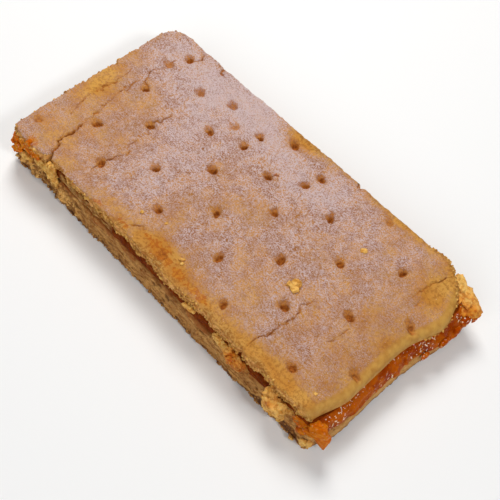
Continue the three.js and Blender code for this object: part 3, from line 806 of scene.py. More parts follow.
# the apricot filling. It shows as a recessed band along the sides, and at the front it slopes out
# from under the crust's curl and hangs over the base between droopFrom and droopTo
filling = {
    "plan": {
        "left": -60.2, "right": 64.8, "near": -29.2, "far": 32.3, "radii": [3.0, 2.5, 6.5, 6.0],
        "edgeDepth": 14.0, "bulge": 3.5, "bulgeY": 20.0, "bulgeWidth": 11.0,
        "retreat": 1.8, "retreatLength": 11.0, "seed": 2,
        "rag": {"near": 0.2, "far": 0.16, "left": 0.16, "front": 0.45}, "nicks": [],
    },
    "cells": (560, 280), "rows": 26, "lowRings": (0.7, 2.0, 4.0), "topRings": (0.7, 2.0, 4.0),
    "top": 12.2, "bottom": 7.7, "slope": 3.3, "recess": 0.5, "swell": 0.35, "tuck": 0.6,
    "droop": 1.7, "droopFrom": 8.0, "droopTo": 30.0,
    "relief": {"near": 0.42, "far": 0.5, "left": 0.45, "front": 0.42},
    "pulp": 4.2, "strand": 1.7,  # sizes of the soft lumps and of the threads
    "smearFrom": -51, "smearTo": -14, "smearNear": -22,  # where pastry is smeared on the near side
}


# the cut layer, then pushed out by pulp, strands and finer lumps
def makeFilling(look, material):
    # set back at the top, swelling out in the middle by a sine and tucked in at the very foot,
    # with the front sloping out all the way down
    def surface(t):
        swell = look["swell"] * np.sin(np.pi * t) - look["tuck"] * max(t - 0.85, 0.0) / 0.15

        def place(u, v, inset=0.0):
            front = frontShare(u)
            edge = (1 - front) * look["recess"] - swell + inset
            x, y = planPoint(look["plan"], u, v, front * look["slope"] * (1 - t) ** 1.2 + edge, edge)
            hang = ease((y - look["droopFrom"]) / 6) * ease((look["droopTo"] - y) / 4)
            low = look["bottom"] - look["droop"] * front * hang * ease(1 - inset / 1.5)
            return x, y, look["top"] + t * (low - look["top"])
        return place

    points, quads, tris, marks, normals = cutLayer(look, surface)
    x, y, z = points.T
    pulp = 1 - 2.2 * np.abs(lumps(x, y, z, look["pulp"], 5))
    strands = 1 - 2.4 * np.abs(lumps(x, y, 1.2 * z, look["strand"], 6))
    push = 0.7 * pulp + 0.3 * strands + 0.45 * crumble(x, y, z, 2.4, 2, 8)
    push = push * sideAmount(normals, look["relief"], marks)
    smear = ease((look["smearTo"] - x + 5 * lumps(x, 0, 0, 6.0, 33)) / 5)
    smear = smear * ease((x - look["smearFrom"]) / 3) * ease((look["smearNear"] - y) / 3)
    smear = smear * ease((lumps(0.35 * x, y, z, 1.5, 34) + 0.55) / 0.5)
    masks = {
        "deep": ease(0.42 - 0.4 * (pulp + 0.3 * strands)),
        "smear": smear * (normals[:, 1] < -0.2),
        # 1 on every side that does not face the front: dry there, and painted shade in the colour
        "dryAndShaded": ease((0.6 - normals[:, 0]) / 0.4),
        "glow": 0 * x, "matte": 0 * x,
    }
    points = points + normals * push[:, None]
    makePiece("apricotFilling", points, quads, tris, material, ["apricot_filling"], masks)


# amber jam, redder where it is deep, darker brown with painted shade on the dry sides away from the front,
# with pastry smeared on it and painted glints, small pale highlights, where it is wet
def fillingMaterial():
    web = Web("apricot jam")
    deep, smear, dryAndShaded, glow, matte = web.masks("deep", "smear", "dryAndShaded", "glow", "matte")
    pulp, fine, broken = web.noise(3.0, 2.0), web.noise(0.8, 2.0), web.noise(1.4, 3.0)
    colour = web.spots(pulp, 0.36, 0.62, (154, 58, 0), (188, 90, 6))
    colour = web.blend(fine.step(0.52, 0.75) * 0.4, colour, (214, 126, 28))
    colour = web.blend(deep * 0.6, colour, (142, 46, 0))
    colour = web.blend(glow, colour, web.spots(broken, 0.35, 0.65, (204, 100, 8), (228, 140, 32)))
    # painted shade: the sides away from the front are painted dark brown
    colour = web.blend(dryAndShaded * 0.85, colour, web.spots(broken, 0.4, 0.6, (86, 28, 2), (118, 48, 6)))
    colour = web.blend(smear, colour, web.spots(broken, 0.35, 0.65, (186, 140, 82), (134, 86, 42)))
    wet = web.noise(8.0, 1.0).step(0.38, 0.5) * (1 - dryAndShaded) * (1 - smear) * (1 - matte)
    # painted glints: near-white highlights painted into the colour in spots where it is wet, with coat on
    # them
    paintedGlints = wet * web.noise(0.65, 1.0).step(0.63, 0.67)
    colour = web.blend(paintedGlints * 0.85, colour, (252, 232, 204))
    relief = web.noise(1.3, 2.0) * 0.7 + fine * 0.5
    return web.finish({
        "Base Color": colour, "Roughness": 0.2 + fine * 0.2 + smear * 0.5 + dryAndShaded * 0.4 + matte * 0.3,
        "Coat Weight": wet * 0.05 + paintedGlints * 0.45, "Coat Roughness": 0.04,
        "Specular IOR Level": 0.05, "Specular Tint": (1.0, 0.6, 0.25, 1.0), "Normal": web.bump(relief, 0.6),
    }, (0.35, (1.0, 0.3, 0.06), 1.6))


jamLook = fillingMaterial()
makeFilling(filling, jamLook)

# the bottom pastry layer, leaning out towards the table at its cut sides
base = {
    "plan": {
        "left": -60.8, "right": 64.8, "near": -30.9, "far": 33.0, "radii": [1.6, 2.5, 7.5, 6.0],
        "edgeDepth": 14.0, "bulge": 2.6, "bulgeY": 22.0, "bulgeWidth": 13.0,
        "retreat": 2.6, "retreatLength": 11.0, "seed": 3,
        "rag": {"near": 0.36, "far": 0.3, "left": 0.3, "front": 0.25}, "nicks": [],
    },
    "cells": (560, 280), "rows": 34, "lowRings": (0.8, 2.2, 4.5), "topRings": (0.7, 2.0, 4.0),
    "lean": 1.2, "topRim": 0.6, "bottomRim": 0.45, "bottomRimHeight": 1.1,
    "relief": {"near": 0.36, "far": 0.32, "left": 0.34, "front": 0.22},
    "mashedTo": -24, "mashedNear": -16,  # the left near part, where the crumb is mashed
    "toastAndShade": 1.95, "toastFade": 0.8,  # height of the browned foot, and over how much it fades
    # near the side chunk the dark foot stands higher: browned pastry, with painted shade under the chunk
    "toastAndShadeRise": 2.6, "riseFrom": 40, "riseTo": 60,  # where it stands higher on the near side
    "jamLine": 6.9,  # height where jam starts to show
}


# the cut layer, then pushed out by thin layers, grain and clumps of crumb, and pitted
def makeBase(look, material):
    # set in by the lean, rounded off at the top, and nibbled away at the foot
    def surface(t):
        z = baseTop * (1 - t)
        rounded = look["topRim"] * max(z - baseTop + 1, 0.0) ** 2
        low = look["bottomRim"] * max(1 - z / look["bottomRimHeight"], 0.0)

        def place(u, v, inset=0.0):
            x, y = planPoint(look["plan"], u, v, 0.0, 0.0)
            ragged = 1 + 0.9 * lumps(x, y, 0, 1.6, 17) + 0.5 * lumps(x, y, 0, 0.7, 27)
            ragged = ragged + 0.8 * ease((look["mashedTo"] - x) / 12)
            lean = look["lean"] * (1 - frontShare(u)) * z / baseTop
            inset = inset + lean + rounded + low * ragged
            x, y = planPoint(look["plan"], u, v, inset, inset)
            return x, y, np.full(np.shape(x), z)
        return place

    points, quads, tris, marks, normals = cutLayer(look, surface)
    x, y, z = points.T
    amount = sideAmount(normals, look["relief"], marks)
    onWall = (marks > 0) * (marks < 1)
    along = np.where(np.abs(normals[:, 0]) > np.abs(normals[:, 1]), y, x)
    across = x + y - along
    layers = crumble(0.3 * along, 0.5 * across, z, 0.9, 3, 12)
    grain = crumble(x, y, z, 1.1, 3, 15)
    crumbly = 0.3 + 0.7 * ease((look["mashedNear"] - y) / 8)
    crumbly = crumbly * ease((look["mashedTo"] - x) / 12)
    pitted = ease((lumps(0.6 * along, across, z, 0.9, 18) - 0.58 + 0.2 * crumbly) / 0.2)
    clumps = 1.6 * np.abs(lumps(x, y, z, 2.4, 24)) + np.abs(lumps(x, y, z, 1.2, 25)) - 0.8
    clumps = clumps + 0.7 * crumbly * (np.abs(lumps(x, y, z, 0.7, 26)) - 0.35)
    push = amount * (0.34 * layers + 0.5 * grain - 0.7 * pitted + 2.2 * crumbly * clumps)
    points = points + normals * push[:, None]
    points[:, 2] = np.maximum(points[:, 2], 0.0)
    # the dark foot rises under the side chunk: browned pastry with painted shade over it
    risen = ease((x - look["riseFrom"]) / 6) * ease((look["riseTo"] - x) / 4)
    toastAndShadeTop = look["toastAndShade"] + look["toastAndShadeRise"] * risen * ease((-20 - y) / 8)
    toastAndShadeTop = toastAndShadeTop + 0.8 * crumble(x, y, 0, 2.2, 2, 19)
    jammy = ease(z - look["jamLine"] - 0.9 * lumps(x, y, 0, 3.0, 21))
    masks = {
        "toastAndShade": ease((toastAndShadeTop - z) / look["toastFade"]) * (marks > 0),
        # the next three masks are painted light: shade in the pits, highlights on the clumps' tops, shade in
        # the hollows
        "pit": pitted * onWall * ease(amount / 0.2),
        "clumpLight": ease(0.5 + 0.9 * clumps) * crumbly * onWall,
        "hollowShade": ease(0.1 - 1.3 * clumps) * crumbly * onWall,
        "front": ease((normals[:, 0] - 0.4) / 0.4) * ease((z - 2.0) / 3.0) * (x > 50),
        "jammy": jammy * (1 - 0.7 * (normals[:, 0] > 0.5)),
    }
    makePiece("baseCrust", points, quads, tris, material, ["base_crust"], masks)
    return points, normals, marks


# cut pastry in pale and darker streaks, with painted shade in the pits, painted highlights on the clumps and
# painted shade in the hollows at the left, paler at the front, with jam soaked in at the top and a browned
# foot, which rises under the side chunk with painted shade as well
def baseMaterial():
    web = Web("cut shortcrust")
    toastAndShade, pit, jammy, clumpLight, hollowShade, front = web.masks("toastAndShade", "pit", "jammy", "clumpLight", "hollowShade", "front")
    streaks = web.noise(0.8, 4.0, 0.65, (0.3, 0.5, 1.0))
    broad, middle, fine = web.noise(6.0, 2.0), web.noise(1.3, 3.0), web.noise(0.45, 2.0)
    colour = web.spots(streaks, 0.4, 0.6, (152, 97, 42), (210, 157, 88))
    colour = web.blend(broad.step(0.4, 0.6) * 0.35, colour, (158, 100, 50))
    colour = web.blend(middle.step(0.45, 0.7) * 0.4, colour, (198, 150, 90))
    colour = web.blend(fine.step(0.5, 0.75) * 0.35, colour, (122, 78, 36))
    # painted highlights on the clumps' tops
    colour = web.blend(clumpLight * 0.85, colour, web.spots(fine, 0.4, 0.6, (252, 202, 122), (222, 160, 78)))
    # painted shade in the hollows
    colour = web.blend(hollowShade * 0.5, colour, (120, 72, 28))
    colour = web.blend(front * 0.8, colour, web.spots(middle, 0.35, 0.65, (216, 166, 96), (190, 134, 64)))
    colour = web.blend(jammy * middle, colour, (156, 76, 24))
    # painted shade in the pits
    colour = web.blend(pit * 0.7, colour, (92, 52, 22))
    # the browned foot, and painted shade where it rises under the side chunk
    colour = web.blend(toastAndShade, colour, web.spots(middle, 0.35, 0.65, (84, 46, 20), (128, 78, 36)))
    return web.finish({
        "Base Color": colour, "Roughness": 0.78 - toastAndShade * 0.15, "Specular IOR Level": 0.15,
        "Normal": web.bump(streaks * 0.5 + middle * 0.5 + fine * 0.4, 0.35),
    }, (0.08, (1.0, 0.5, 0.25), 0.8))


pastryLook = baseMaterial()
basePoints, baseNormals, baseMarks = makeBase(base, pastryLook)


# closes rings of count points, numbered ring by ring from the top, with quads between the rings
# and a fan of triangles at each end, to the two points that follow the rings
def closeRings(rings, count):
    ids = np.arange(rings * count).reshape(rings, count)
    ahead = np.roll(ids, -1, axis=1)
    quads = np.stack([ids[:-1], ids[1:], ahead[1:], ahead[:-1]], -1).reshape(-1, 4)
    top, bottom = np.full(count, ids.size), np.full(count, ids.size + 1)
    fans = [(top, ids[0], ahead[0]), (bottom, ahead[-1], ids[-1])]
    return quads, np.concatenate([np.stack(fan, -1) for fan in fans])


# several shapes as one: the points in a row, and each shape's faces counted on from its start
def joinShapes(shapes):
    starts = np.cumsum([0] + [len(points) for points, quads, tris in shapes])
    points = np.concatenate([shape[0] for shape in shapes])
    faces = [np.concatenate([shape[k] + start for shape, start in zip(shapes, starts)]) for k in (1, 2)]
    return points, *faces


# a broken lump: a ball of rows and columns squared up to a rounded block by raising each part of
# its direction to a power, stretched to its half sizes, pushed along its direction by crumbs of
# two sizes, narrowed towards its foot by taper, turned about Z and leaned over at the foot
def clod(centre, half, turn, relief, seed, taper=0.0, lean=(0.0, 0.0), cells=(32, 48), power=0.75, grain=2.6):
    rows, columns = cells
    down = np.linspace(0, np.pi, rows + 1)[1:-1, None]
    about = np.linspace(0, 2 * np.pi, columns + 1)[None, :-1]
    ways = [np.sin(down) * np.cos(about), np.sin(down) * np.sin(about), np.cos(down)]
    ways = np.stack(np.broadcast_arrays(*ways), -1).reshape(-1, 3)
    ways = np.concatenate([ways, [[0, 0, 1.0], [0, 0, -1.0]]])
    block = np.sign(ways) * np.abs(ways) ** power * np.array(half)
    bumps = crumble(*block.T, grain, 2, seed) + 1.2 * np.abs(lumps(*block.T, 0.5 * grain, seed + 5)) - 0.4
    block = block + ways * (relief * bumps * min(half))[:, None]
    lowness = (0.5 - 0.5 * np.clip(block[:, 2] / half[2], -1, 1))[:, None]
    block[:, :2] *= 1 - taper * lowness
    angle = np.radians(turn)
    turned = np.array([[np.cos(angle), -np.sin(angle), 0], [np.sin(angle), np.cos(angle), 0], [0, 0, 1.0]])
    points = block @ turned.T + np.array(centre)
    points[:, :2] += lowness * np.array(lean)
    return points, *closeRings(rows - 1, columns)


# a broken flake with a flat top: an outline walked round in even steps and drawn to its middle in
# rings, the top falling away at the rim by edge times the sixth power of the ring, then a wall
def slab(outline, low, high, slope, rag, relief, seed, steps=220, rings=34, walls=12, edge=0.7):
    route = np.array(outline + outline[:1], float)
    reached = np.concatenate([[0.0], np.cumsum(np.hypot(*np.diff(route, axis=0).T))])
    walk = np.linspace(0, reached[-1], steps + 1)[:-1]
    rimX, rimY = np.interp(walk, reached, route[:, 0]), np.interp(walk, reached, route[:, 1])
    midX, midY = rimX.mean(), rimY.mean()
    grow = 1 + rag * (lumps(walk, 0, 0, 2.2, seed) + 0.8 * np.abs(lumps(walk, 0, 0, 0.8, seed + 1)) - 0.3)
    wayX, wayY = (rimX - midX) * grow, (rimY - midY) * grow
    share = np.sin(np.linspace(0, np.pi / 2, rings + 1))[1:, None]
    x, y = midX + share * wayX, midY + share * wayY
    grain = crumble(x, y, 0, 2.6, 3, seed + 2) + 1.2 * np.abs(lumps(x, y, 0, 1.0, seed + 3)) - 0.4
    z = high + slope[0] * (x - midX) + slope[1] * (y - midY) - edge * share ** 6 + relief * grain
    top = np.stack([x, y, z], -1)
    t = (np.arange(1, walls + 1) / walls)[:, None]
    z = top[-1, :, 2] + t * (low - top[-1, :, 2])
    push = 1 + 0.05 * np.sin(np.pi * t) - 0.12 * t
    push = push + 0.07 * crumble(top[-1, :, 0], top[-1, :, 1], z, 1.3, 2, seed + 4)
    wall = np.stack([midX + wayX * push, midY + wayY * push, z], -1)
    ends = [[midX, midY, top[0, :, 2].mean()], [midX, midY, low]]
    return np.concatenate([top.reshape(-1, 3), wall.reshape(-1, 3), ends]), *closeRings(rings + walls, steps)


# the crumbs and flakes that cling to the slice, with the nodes that each replaces. A lump is its
# centre, half sizes, turn about Z, how crumbly, seed and, where it narrows downwards, its taper.
# jamAt and shadeAt are where jam has soaked in and where painted shade lies: a point and a reach
clinging = {
    "cornerScrap": {
        "nodes": ["corner_scrap"],
        "slab": {
            "outline": [
                (56.8, 28.8), (59.8, 26.7), (62.5, 24.5), (64.8, 22.9), (66.9, 25.2), (68.2, 27.2),
                (69.7, 29.0), (69.3, 30.3), (67.6, 30.8), (65.5, 31.9), (64.2, 32.1), (62.8, 33.1),
                (61.2, 32.5), (59.8, 33.4), (58.2, 34.0), (56.8, 32.6), (56.4, 31.2),
            ],
            "low": 8.3, "high": 12.4, "slope": (-0.17, 0.04), "rag": 0.09, "relief": 0.26, "seed": 5,
        },
        "lumps": [
            ((58.6, 32.0, 11.4), (1.5, 1.1, 1.4), -10, 0.3, 7),
            ((67.9, 28.6, 9.4), (1.5, 1.6, 1.2), -30, 0.3, 10),
            ((60.8, 30.4, 12.5), (1.7, 1.2, 0.7), -30, 0.5, 91),
            ((64.6, 28.0, 12.2), (1.5, 1.6, 0.6), 20, 0.5, 92),
        ],
        "jamAt": (68.0, 26.0, 10.2, 7.2),
    },
    "sideChunk": {
        "nodes": ["side_chunk"], "power": 0.62, "grain": 1.5,
        "lumps": [
            ((49.2, -30.9, 8.7), (3.4, 1.9, 3.3), 4, 0.24, 15),
            ((47.2, -30.2, 11.2), (1.7, 1.3, 1.6), 8, 0.4, 18),
            ((51.3, -30.5, 6.8), (1.7, 1.3, 2.2), -8, 0.4, 17),
            ((54.8, -28.9, 8.6), (3.2, 0.8, 2.2), 4, 0.42, 16),
        ],
        "jamAt": (48.6, -31.8, 10.4, 2.6), "shadeAt": (55.6, -29.8, 8.6, 4.0),
    },
    "sideRubble": {
        "nodes": ["side_rubble"], "power": 0.65,
        "lumps": [
            ((30.4, -29.6, 10.0), (3.6, 1.3, 1.7), -3, 0.4, 25),
            ((34.0, -29.9, 9.2), (2.9, 1.5, 2.0), -6, 0.42, 27),
            ((27.0, -29.5, 10.8), (2.0, 0.9, 1.2), 10, 0.5, 26),
            ((32.4, -30.2, 8.4), (2.2, 1.0, 1.3), -8, 0.5, 28),
            ((37.2, -29.4, 8.8), (1.8, 0.9, 1.6), 6, 0.5, 29),
        ],
        "jamAt": (33.4, -31.2, 9.2, 5.2), "shadeAt": (37.6, -29.8, 8.4, 4.6),
    },
    "leftMash": {
        "grain": 0.95,
        "lumps": [
            ((-50.4, -29.3, 9.0), (2.4, 1.1, 1.5), -6, 0.5, 36),
            ((-46.6, -29.4, 8.8), (2.0, 1.0, 1.8), 8, 0.5, 38),
            ((-42.9, -29.9, 12.8), (1.5, 1.1, 1.5), -4, 0.5, 39),
            ((-42.3, -30.2, 10.4), (1.5, 1.0, 1.7), 12, 0.5, 55),
            ((-41.5, -30.3, 8.1), (1.7, 0.9, 1.5), -10, 0.5, 40),
            ((-40.8, -30.5, 6.2), (1.1, 0.7, 1.1), 4, 0.5, 56),
            ((-55.0, -30.2, 6.6), (2.6, 0.9, 1.4), 4, 0.45, 41),
            ((-59.0, -30.0, 7.0), (1.6, 1.0, 1.6), 0, 0.45, 37),
            ((15.8, -29.9, 12.4), (2.2, 0.8, 0.9), 6, 0.34, 42),
            ((-60.9, -29.2, 5.8), (0.7, 1.1, 1.6), 0, 0.4, 43),
            ((60.6, -31.0, 4.2), (1.6, 0.8, 2.6), 20, 0.3, 44, 0.8),
            ((62.0, -30.4, 4.6), (1.2, 0.8, 2.6), 20, 0.3, 54, 0.8),
            ((57.2, -31.2, 1.4), (0.8, 0.5, 0.7), 0, 0.4, 52),
            ((4.2, -29.4, 12.2), (0.9, 0.5, 0.7), 0, 0.4, 53),
        ],
        "jamAt": (-58.5, -30.0, 8.6, 3.4), "shadeAt": (-40.6, -30.4, 5.6, 3.4),
    },
    "topFlakes": {
        "nodes": ["top_crumb"], "power": 0.65, "grain": 0.8,
        "lumps": [
            ((30.6, -5.0, 16.3), (1.5, 1.1, 0.65), 20, 0.45, 45),
            ((31.4, -6.6, 16.2), (1.2, 1.2, 0.5), -40, 0.45, 46),
            ((29.6, -6.4, 16.1), (0.8, 0.7, 0.4), 10, 0.45, 47),
            ((35.8, 16.2, 16.1), (1.0, 0.75, 0.4), 40, 0.4, 48),
            ((55.5, -23.4, 15.9), (0.5, 0.5, 0.35), 0, 0.4, 49),
            ((5.2, -23.1, 16.1), (0.9, 0.45, 0.5), 40, 0.5, 50),
            ((-6.0, -18.8, 16.1), (0.5, 0.4, 0.3), 0, 0.4, 51),
            ((6.2, -23.9, 16.1), (0.5, 0.6, 0.3), 10, 0.5, 57),
            ((-13.1, -21.4, 16.1), (0.55, 0.4, 0.3), 20, 0.4, 58),
        ],
    },
}


# 1 at a place and falling to 0 past its reach, both given as (x, y, z, reach), with a rough edge
def roundPlace(points, place, start, rough):
    away = np.linalg.norm(points - np.array(place[:3]), axis=1)
    return ease(start - away / place[3] + rough)


# lumps and a slab joined as one piece, big lumps more finely made, then the masks of jam and shade
def makeClinging(name, look, material):
    shapes = []
    for lump in look["lumps"]:
        settings = {
            "cells": (56, 88) if max(lump[1]) > 3 else (32, 48), "power": look.get("power", 0.75),
            "grain": look.get("grain", max(1.3, 0.6 * min(lump[1]) + 0.9)),
        }
        shapes.append(clod(*lump, **settings))
    if "slab" in look:
        shapes.append(slab(**look["slab"]))
    points, quads, tris = joinShapes(shapes)
    soaked, shade = np.zeros(len(points)), 0.35 * ease(0.3 + 0.8 * crumble(*points.T, 1.1, 3, 62))
    if "jamAt" in look:
        soaked = roundPlace(points, look["jamAt"], 1.15, 0.35 * crumble(*points.T, 2.0, 2, 61))
    # painted shade: darker where the piece lies in shade under the crust's lip
    if "shadeAt" in look:
        dark = roundPlace(points, look["shadeAt"], 1.3, 0.3 * crumble(*points.T, 1.6, 2, 63))
        shade = np.maximum(shade, dark)
    masks = {"jam": soaked, "shade": shade}
    makePiece(name, points, quads, tris, material, look.get("nodes", ()), masks)


# pale baked crumb, darker in the shade and orange where jam has soaked in
def crumbMaterial():
    web = Web("broken crumb")
    jam, shade = web.masks("jam", "shade")
    middle, fine = web.noise(1.1, 3.0), web.noise(0.4, 2.0)
    colour = web.spots(middle, 0.42, 0.64, (242, 190, 102), (210, 146, 60))
    colour = web.blend(shade * 0.9, colour, web.spots(middle, 0.4, 0.6, (158, 98, 40), (118, 64, 22)))
    colour = web.blend(fine.step(0.5, 0.7) * 0.45 * (1 - shade * 0.6), colour, (236, 192, 122))
    colour = web.blend(jam, colour, web.spots(middle, 0.4, 0.6, (220, 136, 36), (188, 94, 14)))
    return web.finish({
        "Base Color": colour, "Roughness": 0.75 - jam * 0.25, "Specular IOR Level": 0.12,
        "Normal": web.bump(middle * 0.5 + fine * 0.4 + web.cells(0.7) * 0.4, 0.28),
    }, (0.15, (1.0, 0.5, 0.2), 1.0))


crumbLook = crumbMaterial()
for pieceName, pieceLook in clinging.items():
    makeClinging(pieceName, pieceLook, crumbLook)

# jam squeezed out at the near front corner and drawn into points, drops along the front, and
# jam at the near left corner. A lump is given as above, with how far its foot leans over last
squeeze = {
    "cornerSqueeze": {
        "nodes": ["corner_squeeze"], "grain": 2.0, "glow": 0.5, "matte": 0.85,
        "lumps": [
            ((62.2, -28.2, 7.6), (3.7, 1.4, 5.5), 22, 0.24, 6, 0.84, (2.9, 0.5)),
            ((60.2, -28.9, 7.6), (3.0, 1.3, 2.8), 18, 0.3, 64, 0.5, (0.6, 0.0)),
            ((57.4, -28.9, 9.0), (3.0, 1.1, 2.2), 8, 0.34, 65),
            ((58.8, -29.8, 6.6), (2.0, 0.9, 1.8), 12, 0.34, 63),
            ((60.9, -27.5, 11.0), (2.7, 1.7, 1.5), 20, 0.4, 66),
        ],
    },
    "jamDrops": {
        "grain": 2.2, "glow": 0.0, "matte": 0.0,
        "lumps": [
            ((68.8, 28.2, 7.9), (0.9, 1.0, 2.2), 0, 0.1, 68, 0.7),
            ((67.5, 25.4, 8.2), (1.5, 2.2, 2.2), 0, 0.12, 69, 0.5),
            ((67.6, 16.6, 7.0), (1.0, 2.6, 2.0), 0, 0.12, 73, 0.6),
            ((67.8, 21.6, 7.4), (1.0, 2.0, 2.2), 0, 0.12, 70, 0.6),
            ((66.6, 9.6, 7.2), (0.9, 2.0, 1.6), 0, 0.12, 72, 0.6),
        ],
    },
    "leftJam": {
        "grain": 1.3, "glow": 0.8, "matte": 0.7,
        "lumps": [
            ((-54.4, -29.5, 11.4), (4.4, 1.1, 2.7), 2, 0.36, 81),
            ((-58.2, -30.3, 11.8), (1.5, 1.0, 1.7), 0, 0.5, 82),
            ((-57.2, -31.0, 9.0), (1.7, 0.8, 1.6), -4, 0.5, 83),
            ((-50.2, -29.8, 11.2), (1.9, 0.9, 1.7), 10, 0.45, 84),
            ((-59.6, -30.6, 10.2), (0.8, 1.2, 1.0), 20, 0.5, 85),
            ((-58.4, -31.5, 7.4), (1.0, 0.7, 1.0), 0, 0.5, 86),
            ((-51.9, -29.9, 15.1), (1.5, 1.1, 0.9), 20, 0.5, 87),
        ],
    },
}


# lumps of jam joined as one piece, rounder than the crumbs
def makeSqueeze(name, look, material):
    shapes = [clod(*lump, cells=(44, 72), power=0.9, grain=look["grain"]) for lump in look["lumps"]]
    points, quads, tris = joinShapes(shapes)
    zero = np.zeros(len(points))
    deep = ease(0.1 + 0.5 * crumble(*points.T, 2.2, 2, 71))
    glow = look["glow"] + 0.3 * lumps(*points.T, 1.6, 72)
    masks = {"deep": deep, "smear": zero, "dryAndShaded": zero, "glow": glow, "matte": zero + look["matte"]}
    makePiece(name, points, quads, tris, material, look.get("nodes", ()), masks)


for squeezeName, squeezeLook in squeeze.items():
    makeSqueeze(squeezeName, squeezeLook, jamLook)
print("layers and clinging pieces ready")


# random turns as matrices, each from a random quaternion
def randomTurns(count, rng):
    w, x, y, z = rng.normal(size=(4, count))
    size = np.sqrt(w * w + x * x + y * y + z * z)
    w, x, y, z = w / size, x / size, y / size, z / size
    rows = [
        [1 - 2 * (y * y + z * z), 2 * (x * y - w * z), 2 * (x * z + w * y)],
        [2 * (x * y + w * z), 1 - 2 * (x * x + z * z), 2 * (y * z - w * x)],
        [2 * (x * z - w * y), 2 * (y * z + w * x), 1 - 2 * (x * x + y * y)],
    ]
    return np.moveaxis(np.array(rows), -1, 0)


cubeCorners = np.array([[x, y, z] for z in (-1, 1) for y in (-1, 1) for x in (-1, 1)], float)
cubeQuads = np.array([[0, 2, 3, 1], [4, 5, 7, 6], [0, 1, 5, 4], [2, 6, 7, 3], [0, 4, 6, 2], [1, 3, 7, 5]])


# a ball of 32 faces: an octahedron, each face split in four and the new corners pushed out
def ballBit():
    corners = [side * axis for axis in np.eye(3) for side in (1, -1)]
    middles, faces = {}, []

    def middle(i, j):
        edge = (min(i, j), max(i, j))
        if edge not in middles:
            middles[edge] = len(corners)
            between = corners[i] + corners[j]
            corners.append(between / np.linalg.norm(between))
        return middles[edge]

    for a, b, c in np.ndindex(2, 2, 2):
        i, j, k = (a, b + 2, c + 4) if (a + b + c) % 2 == 0 else (a, c + 4, b + 2)
        ij, jk, ki = middle(i, j), middle(j, k), middle(k, i)
        faces += [(i, ij, ki), (j, jk, ij), (k, ki, jk), (ij, jk, ki)]
    return np.array(corners), np.array(faces)


# copies of a small shape strewn over surface points that are picked at random by weight. Sizes
# go from smallest to largest by a random number to the power of rarity, uneven along each axis.
# A copy's corners are jittered, and it is turned at random and lifted by a share of its size
def strew(look, points, normals, weights, corners, faces, rng):
    count = look["count"]
    chosen = rng.choice(len(weights), count, replace=False, p=weights / weights.sum())
    share = rng.uniform(0, 1, (count, 1)) ** look["rarity"]
    sizes = look["smallest"] + (look["largest"] - look["smallest"]) * share
    sizes = sizes * rng.uniform(*look["uneven"], (count, 3))
    places = points[chosen]
    if "wander" in look:
        places = places + look["wander"] * rng.uniform(-1, 1, (count, 3)) * np.array([1, 1, 0])
    places = places + normals[chosen] * look["lift"] * sizes[:, :1]
    shapes = corners * (1 + look["jitter"] * rng.uniform(-1, 1, (count, len(corners), 3))) * sizes[:, None]
    bits = (np.einsum("nij,nkj->nki", randomTurns(count, rng), shapes) + places[:, None]).reshape(-1, 3)
    return bits, (faces + len(corners) * np.arange(count)[:, None, None]).reshape(-1, faces.shape[1])


noQuads, noTris = np.zeros((0, 4), int), np.zeros((0, 3), int)

# sizes are half sizes, and wander is how far a grain may lie from the point picked for it
sugar = {
    "count": 14000, "smallest": 0.035, "largest": 0.075, "rarity": 1, "uneven": (0.75, 1.1),
    "wander": 0.12, "lift": 0.1, "jitter": 0.12, "seed": 3,
    "gather": 2.2, "stray": 0.002,  # how strongly grains keep to the frost, and how many stray
}


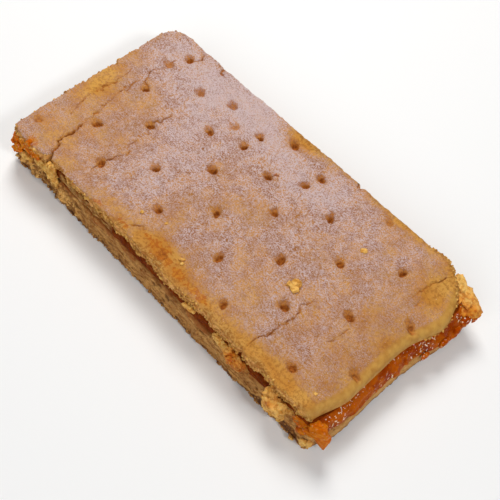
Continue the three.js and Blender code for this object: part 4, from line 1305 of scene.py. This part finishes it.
# blocks of sugar over the top crust, the more the frostier it is, and none in holes and cracks
def makeSugar(look):
    rng = np.random.default_rng(look["seed"])
    stray = look["stray"] * (crustNormals[:, 2] > 0.8) * (crustMarks == 0)
    weights = (crustMasks["frost"] ** look["gather"] + stray) * (crustMasks["inside"] < 0.3)
    points, quads = strew(look, crustPoints, crustNormals, weights, cubeCorners, cubeQuads, rng)
    web = Web("caster sugar")
    colour = web.spots(web.noise(3.0, 2.0), 0.3, 0.7, (226, 202, 196), (214, 188, 178))
    sockets = {"Base Color": colour, "Roughness": 0.35, "Specular IOR Level": 0.5}
    material = web.finish(sockets, (0.3, (1.0, 0.8, 0.7), 0.3))
    makePiece("sugarGrains", points, quads, noTris, material, smooth=False)


makeSugar(sugar)

crumbSizes = {"smallest": 0.16, "rarity": 2.2, "uneven": (0.6, 1.1), "lift": -0.1, "jitter": 0.28}
crumbs = {
    "edgeCrumbs": {"count": 1700, "largest": 0.6, "seed": 21, **crumbSizes},
    "toastedCrumbs": {"count": 900, "largest": 0.62, "seed": 22, **crumbSizes},
}


# small rough balls, sunk a little into the surface and none below the table
def makeCrumbs(name, points, normals, weights, material):
    rng = np.random.default_rng(crumbs[name]["seed"])
    corners, faces = ballBit()
    bits, tris = strew(crumbs[name], points, normals, weights, corners, faces, rng)
    bits[:, 2] = np.maximum(bits[:, 2], 0.0)
    shade = np.repeat(rng.uniform(0, 1, crumbs[name]["count"]), len(corners))
    masks = {"jam": 0 * shade, "shade": shade}
    makePiece(name, bits, noQuads, tris, material, masks=masks)


# crumbs hang mostly at the low lip of the crust's near wall and at its far front corner
onWall = (crustMarks > 0.1) * (crustMarks < 1)
nearWall = ease((-crustNormals[:, 1] - 0.3) / 0.4) * (0.12 + ease((crustMarks - 0.45) / 0.3))
nearWall = nearWall * (0.25 + ease(crumble(crustPoints[:, 0], 0, 0, 5.0, 2, 91) + 0.3))
farCorner = 1.2 * ease((crustNormals[:, 1] - 0.2) / 0.4) * ease((crustPoints[:, 0] - 44) / 8)
leftWall = 0.1 * ease((-crustNormals[:, 0] - 0.3) / 0.4)
edgeWeights = (nearWall + farCorner + leftWall) * onWall
makeCrumbs("edgeCrumbs", crustPoints, crustNormals, edgeWeights, crumbLook)

# toasted crumbs stand mostly at the foot of the base's near wall
lowEdge = ease((-baseNormals[:, 1] - 0.3) / 0.4) * (baseMarks > 0) * (baseMarks < 1)
lowEdge = lowEdge * (0.12 + ease((1.6 - basePoints[:, 2]) / 1.2))
makeCrumbs("toastedCrumbs", basePoints, baseNormals, lowEdge, pastryLook)
print("sugar and crumbs ready")

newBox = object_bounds()
[[list(corner) for corner in box] for box in (cadBox, newBox)]
